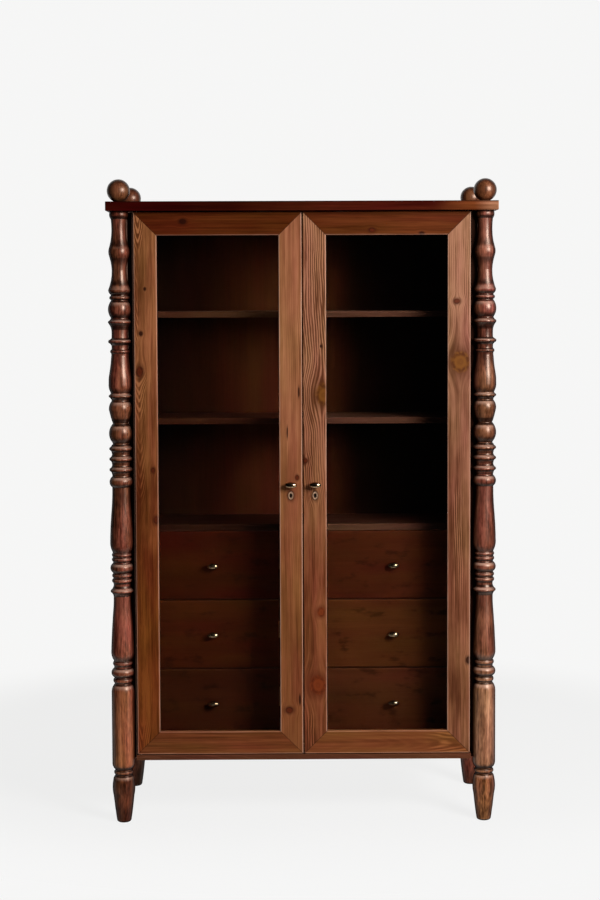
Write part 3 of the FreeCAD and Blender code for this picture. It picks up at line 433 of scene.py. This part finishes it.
def knot_distance(wood, knots):
    """Distance from the nearest knot's middle in units of that knot's own radius."""
    g = wood.g
    surface = g.vector(wood.across, wood.along, 0.0)
    ragged = g.math("MULTIPLY", wood.ragged, KNOT_RAGGEDNESS)
    nearest = None
    for knot_across, knot_along, half_width, half_length in knots:
        offset = g.vector_math("SUBTRACT", surface, (knot_across, knot_along, 0.0))
        scaled = g.vector_math("MULTIPLY", offset, (1 / half_width, 1 / half_length, 0.0))
        distance = g.math("ADD", g.vector_math("LENGTH", scaled), ragged)
        nearest = distance if nearest is None else g.math("MINIMUM", nearest, distance)
    return nearest


def with_knots(wood, colour, knots):
    """The colour with knots of each kind over it: a stained halo, a broken rim and faint rings."""
    g = wood.g
    for kind, (heart, rim) in KNOT_COLOURS.items():
        own = [knot[:4] for knot in knots if knot[4] == kind]
        if not own:
            continue
        distance = knot_distance(wood, own)
        colour = g.mix(g.ramp(distance, *KNOT_HALO), colour, (*rim, 1.0))
        patches = wood.noise(KNOT_PATCHES, follow_knots=False)
        swirl = g.math("MULTIPLY_ADD", patches, KNOT_SWIRL, g.math("MULTIPLY", distance, KNOT_RINGS))
        darkness = g.math("MULTIPLY_ADD", g.math("SINE", swirl), KNOT_RING_DEPTH, KNOT_DARKNESS)
        broken_rim = g.math("MULTIPLY", g.ramp(distance, *KNOT_RIM), g.ramp(patches, *KNOT_RIM_BREAKS))
        inside = g.mix(g.math("ADD", darkness, broken_rim), (*heart, 1.0), (*rim, 1.0))
        colour = g.mix(g.ramp(distance, *KNOT_BODY), colour, inside)
    return colour


def with_dark_faces(wood, look, colour):
    """Painted shade: darker faces where the piece looks along one axis."""
    g = wood.g
    axis, depth = look.dark_faces
    return g.mix(g.ramp(wood.faces_along(axis), *PAINTED_SHADE_FACES, 0.0, depth), colour, SEAM_AND_SHADE_COLOUR)


def with_pale_arris(wood, look, colour):
    """Pale, patchy edges on the faces that look along Y: wear on the doors, a painted highlight on the left
    side panel.
    """
    g = wood.g
    forward = g.ramp(wood.faces_along(Y), *FACES_ALONG_Y)
    patchy = g.math("MULTIPLY", g.ramp(wood.streaks, *ARRIS_PATCHES), forward)
    near_edge = g.ramp(wood.off_edge, *PALE_ARRIS_EDGE, look.arris, 0.0)
    return g.mix(g.math("MULTIPLY", near_edge, patchy), colour, RUBBED_AND_HIGHLIGHT_COLOUR)


def with_dirty_edge(wood, look, colour):
    """A dark line at one height on the faces that look along Y."""
    g = wood.g
    height, width, share = look.dirty_edge
    off_edge = g.math("ABSOLUTE", g.math("SUBTRACT", wood.place[Z], height))
    near_edge = g.ramp(off_edge, DARK_LINE_CORE * width, width, share, 0.0)
    forward = g.ramp(wood.faces_along(Y), *FACES_ALONG_Y)
    return g.mix(g.math("MULTIPLY", near_edge, forward), colour, SEAM_AND_SHADE_COLOUR)


def with_mitre_seam(wood, look, colour):
    """The dark line between two members of a door, at 45 degrees from each corner of its outline."""
    g = wood.g
    x, _, z = wood.place
    low, high = look.mitre
    beside = g.math("MINIMUM", g.math("SUBTRACT", x, low[X]), g.math("SUBTRACT", high[X], x))
    above = g.math("MINIMUM", g.math("SUBTRACT", z, low[Z]), g.math("SUBTRACT", high[Z], z))
    off_line = g.math("ABSOLUTE", g.math("SUBTRACT", beside, above))
    return g.mix(g.ramp(off_line, *MITRE_LINE), colour, SEAM_AND_SHADE_COLOUR)


def with_painted_relief_light(wood, colour):
    """Painted highlights on the upward rims, and painted shade in the grooves and on the undersides of the
    rings, of a turned post.
    """
    g = wood.g
    radius = g.vector_math("LENGTH", g.vector(wood.across, wood.through, 0.0))
    upward = g.facing()[Z]
    groove = g.math("MULTIPLY", g.ramp(radius, *GROOVE_RADIUS), g.ramp(wood.faces_along(Z), *GROOVE_SLOPE))
    crevice_shade = g.math("MAXIMUM", groove, g.ramp(upward, *UNDERSIDE))
    rim = g.math("MULTIPLY", g.ramp(radius, *RIM_RADIUS), g.ramp(upward, *RIM_SLOPE))
    colour = g.mix(g.math("MULTIPLY", rim, RIM_HIGHLIGHT_SHARE), colour, RUBBED_AND_HIGHLIGHT_COLOUR)
    return g.mix(g.math("MULTIPLY", crevice_shade, CREVICE_SHADE_SHARE), colour, SEAM_AND_SHADE_COLOUR)


def post_gloss(wood, look):
    """Gloss of a turned post: patchy, less near its foot and none where it turns away."""
    g = wood.g
    turned_away = g.add("LayerWeight").outputs["Facing"]
    dulled = g.math("MULTIPLY", g.ramp(turned_away, *GLOSS_LIMB, look.specular, 0.0),
                    g.ramp(wood.place[Z], *GLOSS_BY_HEIGHT))
    return g.math("MULTIPLY", dulled, g.ramp(wood.streaks, *GLOSS_PATCHES))


def pine_colour(wood, look, tone):
    """The stained colour with every mark that the piece's look asks for, painted shade and highlights among
    them.
    """
    g = wood.g
    colour = with_knots(wood, stained(wood, look, tone), look.knots)
    if look.dark_faces is not None:
        colour = with_dark_faces(wood, look, colour)
    if look.arris:
        colour = with_pale_arris(wood, look, colour)
    if look.dirty_edge is not None:
        colour = with_dirty_edge(wood, look, colour)
    if look.mitre is not None:
        colour = with_mitre_seam(wood, look, colour)
    if look.turned:
        colour = with_painted_relief_light(wood, colour)
    # Painted shade where a round piece turns away.
    if look.dark_limb is not None:
        turned_away = g.ramp(g.add("LayerWeight").outputs["Facing"], *look.dark_limb)
        colour = g.mix(turned_away, colour, SEAM_AND_SHADE_COLOUR)
    return colour


def pine(name, **options):
    """Stained, waxed pine: growth rings about a wandering pith, fibre streaks, blotchy stain and knots."""
    look = PineLook(**options)
    g = Graph(bpy.data.materials.new(name))
    wood = Wood(g, look)
    lines = ring_lines(wood, look)
    strength = line_strength(wood, look)
    tone = wood_tone(wood, look, lines, strength)

    shader = g.add("BsdfPrincipled")
    g.feed(shader.inputs["Base Color"], pine_colour(wood, look, tone))
    g.feed(shader.inputs["Specular IOR Level"], post_gloss(wood, look) if look.turned else look.specular)
    shader.inputs["Specular Tint"].default_value = WAX_TINT
    by_blotches, by_streaks = GLOSS_UNEVENNESS
    roughness = g.math("MULTIPLY_ADD", wood.blotches, by_blotches, look.roughness)
    g.feed(shader.inputs["Roughness"], g.math("MULTIPLY_ADD", wood.streaks, by_streaks, roughness))
    height = g.math("MULTIPLY_ADD", lines, strength, wood.fibres)
    g.feed(shader.inputs["Normal"], g.relief(height, strength=look.bump, distance=RELIEF_HEIGHT))
    return g.finish(shader.outputs[0])


# ------------------------------------------------------------------ other materials
# Painted shade round a keyhole, and a darker band at a plate's edge.
KEYHOLE_SHADE = (0.46, 0.64, 0.95, 0.0)       # by distance from a plate's middle, in its own half sizes
PLATE_EDGE_DARKENING = (0.86, 0.97, 0.0, 0.8)


def keyhole_shade_and_edge(g, oval):
    """Painted shade round an oval plate's keyhole, and a darker band at its edge. The oval is (middle, half
    width, half height)."""
    middle, half_width, half_height = oval
    x, _, z = g.place()
    out = g.vector_math("LENGTH", g.vector(
        g.math("DIVIDE", g.math("SUBTRACT", x, middle.x), half_width),
        g.math("DIVIDE", g.math("SUBTRACT", z, middle.z), half_height), 0.0))
    return g.math("ADD", g.ramp(out, *KEYHOLE_SHADE), g.ramp(out, *PLATE_EDGE_DARKENING))


def aged_metal(name, colours, tarnish_scale, roughness, unevenness, metallic=1.0, oval=None):
    """Metal that has dulled unevenly; a plate's oval says where it gets painted shade round its keyhole and
    a darker band at its edge.
    """
    g = Graph(bpy.data.materials.new(name))
    place = g.vector(*g.place())
    tarnish = g.noise(place, scale=tarnish_scale, detail=3.0)
    colour = g.tones(g.math("MULTIPLY_ADD", tarnish, 1.1, 0.5), colours)
    if oval is not None:
        colour = g.mix(keyhole_shade_and_edge(g, oval), colour, SEAM_AND_SHADE_COLOUR)
    shader = g.add("BsdfPrincipled")
    shader.inputs["Metallic"].default_value = metallic
    g.feed(shader.inputs["Base Color"], colour)
    g.feed(shader.inputs["Roughness"], g.math("MULTIPLY_ADD", tarnish, unevenness, roughness))
    scratches = g.noise(place, scale=900.0)
    g.feed(shader.inputs["Normal"], g.relief(scratches, strength=0.08, distance=0.0002))
    return g.finish(shader.outputs[0])


def brown_plastic(name):
    """Moulded plastic with a fine grain."""
    g = Graph(bpy.data.materials.new(name))
    place = g.vector(*g.place())
    grain = g.noise(place, scale=1400.0)
    cloud = g.noise(place, scale=60.0)
    shader = g.add("BsdfPrincipled")
    tone = g.math("MULTIPLY_ADD", cloud, 0.8, 0.5)
    g.feed(shader.inputs["Base Color"], g.tones(tone, [srgb(58, 38, 28), srgb(74, 50, 38)]))
    g.feed(shader.inputs["Roughness"], g.math("MULTIPLY_ADD", grain, 0.2, 0.55))
    g.feed(shader.inputs["Normal"], g.relief(grain, strength=0.2, distance=0.0002))
    return g.finish(shader.outputs[0])


def pane_glass(name):
    """Clear glass with a trace of unevenness; lamps shine through it."""
    g = Graph(bpy.data.materials.new(name))
    drift = g.noise(g.vector(*g.place()), scale=2.2, detail=1.0)
    shader = g.add("BsdfPrincipled")
    shader.inputs["Transmission Weight"].default_value = 1.0
    shader.inputs["IOR"].default_value = 1.45
    shader.inputs["Roughness"].default_value = 0.0
    tints = [(0.96, 0.975, 0.965), (0.99, 0.99, 0.985)]
    g.feed(shader.inputs["Base Color"], g.tones(g.math("ADD", drift, 0.5), tints))
    clear = g.add("BsdfTransparent")
    clear.inputs["Color"].default_value = (0.9, 0.92, 0.91, 1.0)
    blend = g.add("MixShader")
    g.feed(blend.inputs[0], g.add("LightPath").outputs["Is Shadow Ray"])
    g.feed(blend.inputs[1], shader.outputs[0])
    g.feed(blend.inputs[2], clear.outputs[0])
    return g.finish(blend.outputs[0])


# ------------------------------------------------------------------ stains
PLAIN_STEPS = ((0.42, 0.34, 0.27), (0.80, 0.76, 0.72), (1.22, 1.26, 1.30), (1.75, 1.95, 2.20))
DEEP_STEPS = ((0.12, 0.08, 0.06), (0.68, 0.60, 0.54), (1.42, 1.46, 1.50), (2.40, 2.70, 3.00))


def stain(red, green, blue, steps=PLAIN_STEPS):
    """Four tones around a display colour: darker ones richer, lighter ones paler."""
    middle = srgb(red, green, blue)
    return [tuple(level * share for level, share in zip(middle, step)) for step in steps]


def polish(red, green, blue):
    """The stronger tones of the polished turned wood."""
    return stain(red, green, blue, DEEP_STEPS)


def painted_shade_below(red, green, blue):
    """Painted shade: a stile's colour darkens from eye level down, where less lamp light falls."""
    return ((Z, 1.62, 0.62, stain(red, green, blue)),)


TOP_TONES = stain(50, 6, 3)
# Partly stain, partly painted light: the board lightens from left to right, standing in for the lamp on the
# right, and its right end carries a painted highlight.
TOP_STAIN_AND_PAINTED_LIGHT = (
    (X, -0.26, -0.02, stain(64, 18, 7)),
    (X, 0.38, 0.52, stain(98, 51, 20)),
    (X, 0.52, 0.58, stain(134, 88, 60)),
)
CASE_TONES = stain(90, 50, 32)
# Inside the case the pine has darker tones as painted shade, and the fades paint lamp light falling in
# through the doors and the shadows of the stiles on the shelves and the back panel.
SHADED_SHELF_TONES = stain(56, 30, 17)
SHELF_PAINTED_LIGHT_FADES = ((X, -0.1, 0.1, stain(65, 38, 26)), (X, 0.33, 0.43, stain(30, 14, 8)))
SHADED_INSIDE_TONES = stain(25, 11, 5)
BACK_PAINTED_LIGHT_FADES = ((X, -0.48, -0.16, stain(54, 23, 10)), (X, 0.04, 0.2, stain(15, 5, 2)))
SHADED_BANK_TONES = stain(44, 18, 8)
BEAD_TONES = stain(96, 52, 28)
RAW_TONES = [srgb(150, 104, 62), srgb(188, 146, 98), srgb(214, 178, 130)]


# ------------------------------------------------------------------ dressing the nodes
def dress(node, material):
    """Give a CAD node its one material."""
    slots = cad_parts[node].data.materials
    slots.clear()
    slots.append(material)


def corners(node):
    """The low and high corner of a node's box."""
    low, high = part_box(node)
    return Vector(low), Vector(high)


# ------------------------------------------------------------------ doors
DOOR_MEMBERS = ("inner_stile", "outer_stile", "top_rail", "bottom_rail")
STILE = dict(grain="Z", arris=0.5)
RAIL = dict(grain="X", arris=0.3)
PLATE_SHADOW_REACH = (0.0092, 0.0138)   # half sizes of the painted shadow round a keyhole plate
UNRUBBED = 0.02                    # the box is taken this much larger where an edge isn't rubbed pale


def door_outline(side):
    """The outer rectangle of a door's four members."""
    boxes = [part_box(f"{side}_door_{part}") for part in DOOR_MEMBERS]
    low = [min(box[0][axis] for box in boxes) for axis in (X, Y, Z)]
    high = [max(box[1][axis] for box in boxes) for axis in (X, Y, Z)]
    return low, high


def plate_shadow(side):
    """Painted shadow round a door's keyhole plate, as a dark knot behind it."""
    low, high = corners(f"{side}_door_escutcheon")
    middle = (low + high) / 2
    return middle.x, middle.z, *PLATE_SHADOW_REACH, "dark"


def dress_door(side, members):
    """The four members of a door, each from its own board, mitred into one outline."""
    outline = door_outline(side)
    for part, own in members.items():
        node = f"{side}_door_{part}"
        look = {**(RAIL if part.endswith("rail") else STILE), **own}
        low, high = corners(node)
        # The wood round the keyhole plate gets a painted shadow.
        if part == "inner_stile":
            look["knots"] = (*look["knots"], plate_shadow(side))
        if (side, part) == ("right", "inner_stile"):
            low.x -= UNRUBBED
        if part == "top_rail":
            high.z += UNRUBBED
        # Painted shade darkens each member's side faces, in the gaps between the doors and beside the posts.
        dress(node, pine(node, box=(low, high), mitre=outline, wear=0.5, dark_faces=(X, 0.75), **look))


dress_door("left", {
    "outer_stile": dict(
        colours=stain(134, 78, 46), fades=painted_shade_below(109, 53, 18), seed=1.0,
        pith=(-0.504, -0.207), ring=0.0054, lean=-0.17, wander=1.05, thin=0.36, figure=0.12,
        windows=((-0.505, 0.014, 1.80, 1.93, 1.7), (-0.514, 0.005, 1.50, 1.82, 0.9),
                 (-0.500, 0.017, 1.27, 1.40, 1.6), (-0.500, 0.014, 1.02, 1.22, 0.6),
                 (-0.495, 0.017, 0.2, 0.30, 1.2)),
        streak=1.6, fibre=1.3, mottle=1.7,
        knots=((-0.484, 1.664, 0.004, 0.005, "dark"), (-0.497, 1.527, 0.006, 0.007, "dark"),
               (-0.502, 1.409, 0.012, 0.018, "red"), (-0.463, 1.105, 0.006, 0.008, "red"),
               (-0.455, 0.95, 0.009, 0.013, "red"))),
    "top_rail": dict(
        colours=stain(83, 36, 10), seed=2.0, specular=0.06,
        pith=(1.80, -0.10), lean=0.012, wander=0.8, figure=0.12, streak=1.6, fibre=0.9,
        knots=((1.870, -0.366, 0.008, 0.011, "dark"),)),
    "inner_stile": dict(
        colours=stain(142, 89, 57), fades=painted_shade_below(122, 70, 38), seed=3.0, arris=0.8,
        pith=(-0.2, -0.2), ring=0.0062, lean=0.02, wander=0.5, thin=0.4, figure=0.15,
        windows=((-0.006, 0.008, 1.38, 1.6, 0.6),),
        streak=1.3, fibre=0.6, mottle=1.2,
        knots=((-0.012, 1.345, 0.0025, 0.016, "dark"), (-0.048, 1.22, 0.002, 0.018, "dark"),
               (-0.012, 0.385, 0.0025, 0.014, "dark"), (-0.045, 0.352, 0.012, 0.01, "red"),
               (-0.018, 1.08, 0.006, 0.008, "red"))),
    "bottom_rail": dict(
        colours=stain(108, 56, 27), seed=4.0,
        pith=(0.10, -0.15), lean=0.02, wander=1.0, figure=0.15, streak=1.7, fibre=0.9, mottle=0.6),
})
dress_door("right", {
    "inner_stile": dict(
        colours=stain(134, 86, 59), fades=painted_shade_below(112, 59, 33), seed=5.0,
        pith=(-0.08, -0.21), ring=0.0072, lean=0.03, wander=0.9, thin=0.4, figure=0.2,
        windows=((0.035, 0.05, 1.0, 1.92, 1.5), (0.02, 0.012, 0.2, 0.34, 1.5)),
        streak=1.8, fibre=1.2, mottle=2.0,
        knots=((0.065, 1.336, 0.028, 0.037, "amber"), (0.008, 1.132, 0.0085, 0.009, "red"),
               (0.057, 1.486, 0.003, 0.004, "dark"), (0.045, 0.43, 0.027, 0.031, "russet"),
               (0.055, 0.66, 0.012, 0.016, "russet"))),
    "top_rail": dict(
        colours=stain(87, 40, 14), seed=6.0, specular=0.06,
        pith=(1.78, -0.12), lean=0.015, wander=1.0, figure=0.12, streak=1.6, fibre=0.9,
        knots=((1.842, 0.214, 0.007, 0.01, "red"), (1.832, 0.367, 0.005, 0.008, "dark"))),
    "outer_stile": dict(
        colours=stain(128, 83, 59), fades=painted_shade_below(118, 70, 46), seed=7.0,
        pith=(0.30, -0.21), ring=0.0062, lean=0.012, wander=0.5, thin=0.4, figure=0.3,
        windows=((0.475, 0.04, 1.55, 1.80, 0.8), (0.482, 0.014, 0.73, 1.05, 1.0)),
        streak=1.9, fibre=1.1, mottle=2.0,
        knots=((0.476, 1.623, 0.011, 0.009, "red"), (0.487, 1.435, 0.032, 0.034, "amber"),
               (0.513, 0.507, 0.008, 0.011, "dark"))),
    "bottom_rail": dict(
        colours=stain(116, 65, 31), seed=8.0,
        pith=(0.245, -0.19), ring=0.007, lean=0.10, wander=0.8, thin=0.4, figure=0.15,
        windows=((0.245, 0.04, 0.40, 0.52, 0.7),), streak=1.3),
})
for side in ("left", "right"):
    node = f"{side}_door_glazing_beads"
    dress(node, pine(node, grain="Z", colours=BEAD_TONES, seed=50.0, figure=0.2))

# ------------------------------------------------------------------ posts and finials
# Each post comes from its own piece of wood; its turned part, its plain shaft and its foot differ
# in stain. The finials stand on the posts' axes.
FINIAL_RADIUS = 0.0355
FINIALS_HIGH = corners("ball_finials")[1]
POST_X = FINIALS_HIGH.x - FINIAL_RADIUS
POST_Y = FINIALS_HIGH.y - FINIAL_RADIUS
SHAFT_FADE = (Z, 0.50, 0.38)       # the axis and heights over which the shaft's stain takes over
FOOT_FADE = (Z, 0.19, 0.13)
TURNED = dict(grain="Z", pith=(0.05, 0.055), ring=0.007, thin=0.4, lean=0.015, wander=0.8, figure=0.2,
              streak=1.3, fibre=1.0, mottle=1.0, drift=0.017, roughness=0.36, specular=0.9, bump=0.3)
POSTS = {
    "front_left": (-1, -1, 11.0, polish(128, 68, 45), polish(144, 78, 48), polish(90, 42, 24)),
    "front_right": (1, -1, 12.3, polish(118, 65, 45), polish(146, 98, 68), polish(148, 86, 56)),
    "rear_left": (-1, 1, 13.6, polish(100, 54, 36), polish(118, 68, 42), polish(92, 48, 28)),
    "rear_right": (1, 1, 14.9, polish(100, 56, 38), polish(122, 74, 46), polish(98, 52, 32)),
}
for corner, (side_x, side_y, seed, above, shaft, foot) in POSTS.items():
    node = "post_" + corner
    # Painted light on the posts: shade where they turn away, in their grooves and under their rings, and
    # highlights on their upward rims.
    dress(node, pine(
        node, colours=above, fades=((*SHAFT_FADE, shaft), (*FOOT_FADE, foot)), seed=seed,
        centre=(side_x * POST_X, side_y * POST_Y), turned=0.9, dark_limb=(0.14, 0.66, 0.0, 0.85), **TURNED))
# The finials get painted shade where they turn away.
dress("ball_finials", pine(
    "ball_finials", colours=polish(112, 62, 38), seed=17.0, dark_limb=(0.1, 0.6, 0.0, 0.9), **TURNED))

# ------------------------------------------------------------------ case and shelves
TOP_BOX = corners("top_board")
dress("top_board", pine(
    "top_board", grain="flat", colours=TOP_TONES, fades=TOP_STAIN_AND_PAINTED_LIGHT, seed=21.0,
    pith=(-0.35, 1.86), ring=0.005, lean=0.02, wander=1.2, figure=0.2, streak=1.3, fibre=0.8, mottle=1.3,
    box=TOP_BOX, wear=0.3, dirty_edge=(TOP_BOX[1].z, 0.0045, 0.9), roughness=0.45, specular=0.02))
dress("bottom_board", pine(
    "bottom_board", grain="flat", colours=CASE_TONES, seed=22.0, pith=(-0.4, 0.15),
    box=corners("bottom_board"), wear=0.2, specular=0.08))
# Painted shade darkens the side panels' front and back faces; the left panel's front edge gets a painted
# highlight.
for side, seed, painted_edge_highlight in (("left", 23.0, 1.0), ("right", 24.0, 0.0)):
    node = "side_panel_" + side
    dress(node, pine(
        node, grain="side", colours=CASE_TONES, seed=seed, pith=(0.02, 0.45), ring=0.006, lean=0.03,
        wander=1.5, box=corners(node), arris=painted_edge_highlight, dark_faces=(Y, 0.95), specular=0.05))
# The back panel's inner face is painted in shade; its back face has the case's own tones.
dress("back_panel", pine(
    "back_panel", grain="Z", colours=SHADED_INSIDE_TONES, fades=BACK_PAINTED_LIGHT_FADES, behind=CASE_TONES, seed=25.0,
    pith=(0.1, 0.10), ring=0.007, lean=0.03, wander=1.6, figure=0.2, specular=0.0))

SHELVES = {                        # seed, tones of the left half (darker as painted shade), faces darkened as painted shade
    "upper_shelf": (26.0, SHADED_SHELF_TONES, None),
    "lower_shelf": (27.0, stain(46, 20, 10), None),
    "drawer_bank_top": (28.0, stain(34, 14, 7), (Z, 0.6)),
    "drawer_bank_base": (29.0, SHADED_SHELF_TONES, None),
}
for node, (seed, left_tones, shaded) in SHELVES.items():
    dress(node, pine(
        node, grain="flat", colours=left_tones, fades=SHELF_PAINTED_LIGHT_FADES, seed=seed, pith=(0.0, 1.0), ring=0.0055,
        lean=0.02, figure=0.2, box=corners(node), wear=0.3, dark_faces=shaded, specular=0.04))
for node, seed in (("bank_uprights", 30.0), ("centre_stile", 31.0)):
    dress(node, pine(
        node, grain="Z", colours=SHADED_BANK_TONES, seed=seed, pith=(0.0, -0.04), lean=0.02, figure=0.2))
dress("drawer_runners", pine("drawer_runners", grain="deep", colours=RAW_TONES, seed=32.0, roughness=0.55))

# ------------------------------------------------------------------ drawers
# Stains darkened as painted shade inside the case.
DRAWER_STAINS_AND_SHADE = {
    "left": (stain(45, 13, 3), stain(52, 20, 5), stain(46, 18, 6)),
    "right": (stain(54, 21, 6), stain(63, 29, 10), stain(57, 25, 10)),
}
FIRST_DRAWER_SEED = {"left": 41.0, "right": 46.0}


def dress_drawer(side, row, colours):
    """A stained front with painted shade along its lower edge, and a box of raw pine."""
    name = f"drawer_{side}_{row}"
    seed = FIRST_DRAWER_SEED[side] + row - 1
    low, high = corners(name + "_front")
    # The dark line along the front's lower edge is painted shade of the gap below it.
    dress(name + "_front", pine(
        name + "_front", grain="X", colours=colours, seed=seed, pith=(low.z + 0.11, -0.03 - 0.02 * row),
        ring=0.006, wander=1.3, figure=0.14, streak=0.4, mottle=0.7, smudge=0.5, box=(low, high), wear=0.7,
        dirty_edge=(low.z, 0.0065, 0.9), roughness=0.45, specular=0.04))
    dress(name + "_box", pine(
        name + "_box", grain="deep", colours=RAW_TONES, seed=seed + 0.5, figure=0.4, roughness=0.55))


for side, stains in DRAWER_STAINS_AND_SHADE.items():
    for row, colours in enumerate(stains, start=1):
        dress_drawer(side, row, colours)

# ------------------------------------------------------------------ brass, steel, plastic and glass
KNOB_TONES = [srgb(84, 62, 42), srgb(164, 134, 100), srgb(232, 208, 176)]
PLATE_TONES = [srgb(130, 88, 62), srgb(206, 160, 126), srgb(238, 206, 176)]
BROWNED_TONES = [srgb(40, 32, 28), srgb(66, 54, 48)]
ZINC_TONES = [srgb(120, 120, 118), srgb(176, 175, 172)]
KNOB_BRASS = aged_metal("aged_brass", KNOB_TONES, 150.0, 0.17, 0.14)
DARK_STEEL = aged_metal("browned_steel", BROWNED_TONES, 200.0, 0.4, 0.25)
ZINC_STEEL = aged_metal("zinc_steel", ZINC_TONES, 260.0, 0.38, 0.25)
PANE_GLASS = pane_glass("pane_glass")
for side in ("left", "right"):
    for node in (f"{side}_door_knob", *(f"drawer_{side}_{row}_knob" for row in (1, 2, 3))):
        dress(node, KNOB_BRASS)
    low, high = corners(f"{side}_door_escutcheon")
    plate_oval = ((low + high) / 2, (high.x - low.x) / 2, (high.z - low.z) / 2)
    dress(f"{side}_door_escutcheon", aged_metal(
        f"{side}_plate", PLATE_TONES, 260.0, 0.4, 0.2, metallic=0.4, oval=plate_oval))
    dress(f"{side}_door_pivot_pins", DARK_STEEL)
    dress(f"{side}_door_glass", PANE_GLASS)
dress("shelf_pins", KNOB_BRASS)
for node in ("case_screws", "lock_case", "lock_bolt", "left_door_catch_plate", "right_door_catch_plate"):
    dress(node, ZINC_STEEL)
dress("door_catches", brown_plastic("catch_plastic"))


# ------------------------------------------------------------------ studio
def seen_directly(g, path, behind):
    """1 where the camera sees the background itself, through glass, or mirrored from behind the
    cabinet. Light that a dull surface scatters doesn't count."""
    half_a_bounce = 0.5
    indirect = g.math("MAXIMUM", path.outputs["Is Glossy Ray"], path.outputs["Is Transmission Ray"])
    undulled = g.math("LESS_THAN", path.outputs["Diffuse Depth"], half_a_bounce)
    mirrored = g.math("GREATER_THAN", path.outputs["Glossy Depth"], half_a_bounce)
    in_front = g.math("MULTIPLY", mirrored, g.math("SUBTRACT", 1.0, behind))
    indirect = g.math("MULTIPLY", g.math("MULTIPLY", indirect, undulled), g.math("SUBTRACT", 1.0, in_front))
    return g.math("MAXIMUM", path.outputs["Is Camera Ray"], indirect)


def floor_material():
    """Pale matte floor; towards its rim it turns into the plain background."""
    g = Graph(bpy.data.materials.new("floor"))
    x, y, _ = g.place()
    away = g.vector_math("LENGTH", g.vector(
        g.math("DIVIDE", g.math("SUBTRACT", x, FLOOR_MIDDLE[0]), FLOOR_REACH[0]),
        g.math("DIVIDE", g.math("SUBTRACT", y, FLOOR_MIDDLE[1]), FLOOR_REACH[1]), 0.0))
    sees = seen_directly(g, g.add("LightPath"), g.ramp(y, *FLOOR_BEHIND))
    plain = g.math("MULTIPLY", sees, g.ramp(away, *FLOOR_FADE, 1.0 - FLOOR_SHADING, 1.0))
    matte = g.add("BsdfDiffuse")
    matte.inputs["Color"].default_value = BACKGROUND
    glow = g.add("Emission")
    glow.inputs["Color"].default_value = BACKGROUND
    blend = g.add("MixShader")
    g.feed(blend.inputs[0], plain)
    g.feed(blend.inputs[1], matte.outputs[0])
    g.feed(blend.inputs[2], glow.outputs[0])
    return g.finish(blend.outputs[0])


def add_floor():
    """A flat oval under the cabinet."""
    rim = []
    for step in range(FLOOR_STEPS):
        turn = math.tau * step / FLOOR_STEPS
        rim.append((FLOOR_MIDDLE[0] + FLOOR_REACH[0] * math.cos(turn),
                    FLOOR_MIDDLE[1] + FLOOR_REACH[1] * math.sin(turn), 0.0))
    mesh = bpy.data.meshes.new("studio_floor")
    mesh.from_pydata(rim, [], [tuple(range(FLOOR_STEPS))])
    mesh.materials.append(floor_material())
    floor = bpy.data.objects.new("studio_floor", mesh)
    bpy.context.scene.collection.objects.link(floor)


def add_world():
    """Even ambient light. The pale backdrop is what the camera sees, and what gloss and glass show
    of the side behind the cabinet; the room in front of it is dim."""
    g = Graph(bpy.data.worlds.new("studio"))
    split = g.add("SeparateXYZ")
    g.feed(split.inputs[0], g.add("TexCoord").outputs["Generated"])
    behind = g.ramp(split.outputs[1], *WORLD_BEHIND)
    path = g.add("LightPath")
    sees = seen_directly(g, path, behind)
    soft = g.add("Background")
    strength = g.math("MULTIPLY_ADD", path.outputs["Is Glossy Ray"], FRONT_GLOW - AMBIENT, AMBIENT)
    g.feed(soft.inputs["Strength"], strength)
    soft.inputs["Color"].default_value = (1.0, 1.0, 1.0, 1.0)
    white = g.add("Background")
    white.inputs["Color"].default_value = BACKGROUND
    blend = g.add("MixShader")
    g.feed(blend.inputs[0], sees)
    g.feed(blend.inputs[1], soft.outputs[0])
    g.feed(blend.inputs[2], white.outputs[0])
    bpy.context.scene.world = g.finish(blend.outputs[0], "OutputWorld")


def add_key_light():
    """One large soft lamp to the right of the camera."""
    across = math.cos(KEY_HEIGHT_ANGLE) * math.sin(KEY_AZIMUTH)
    forward = math.cos(KEY_HEIGHT_ANGLE) * math.cos(KEY_AZIMUTH)
    toward = Vector((across, -forward, math.sin(KEY_HEIGHT_ANGLE)))
    light = bpy.data.lights.new("key", "AREA")
    light.shape = "SQUARE"
    light.size = KEY_SIZE
    light.energy = KEY_POWER
    lamp = bpy.data.objects.new("key", light)
    lamp.location = LIGHT_AIM + toward * KEY_DISTANCE
    lamp.rotation_euler = toward.to_track_quat("Z", "Y").to_euler()
    bpy.context.scene.collection.objects.link(lamp)


def add_camera():
    """The camera at standing eye height, its lens shifted a little so that the feet are in the picture."""
    data = bpy.data.cameras.new("camera")
    data.sensor_fit = "VERTICAL"
    data.sensor_height = SENSOR
    data.sensor_width = SENSOR
    data.lens = FOCAL_PIXELS / PICTURE_HEIGHT * SENSOR
    data.shift_y = (OPTICAL_AXIS_ROW - PICTURE_HEIGHT / 2) / PICTURE_HEIGHT
    camera = bpy.data.objects.new("camera", data)
    camera.rotation_mode = "XYZ"
    camera.location = CAMERA_PLACE
    camera.rotation_euler = (math.pi / 2 + CAMERA_PITCH, CAMERA_ROLL, CAMERA_YAW)
    bpy.context.scene.collection.objects.link(camera)
    bpy.context.scene.camera = camera


add_world()
add_floor()
add_key_light()
add_camera()
bpy.context.scene.view_settings.view_transform = "Standard"
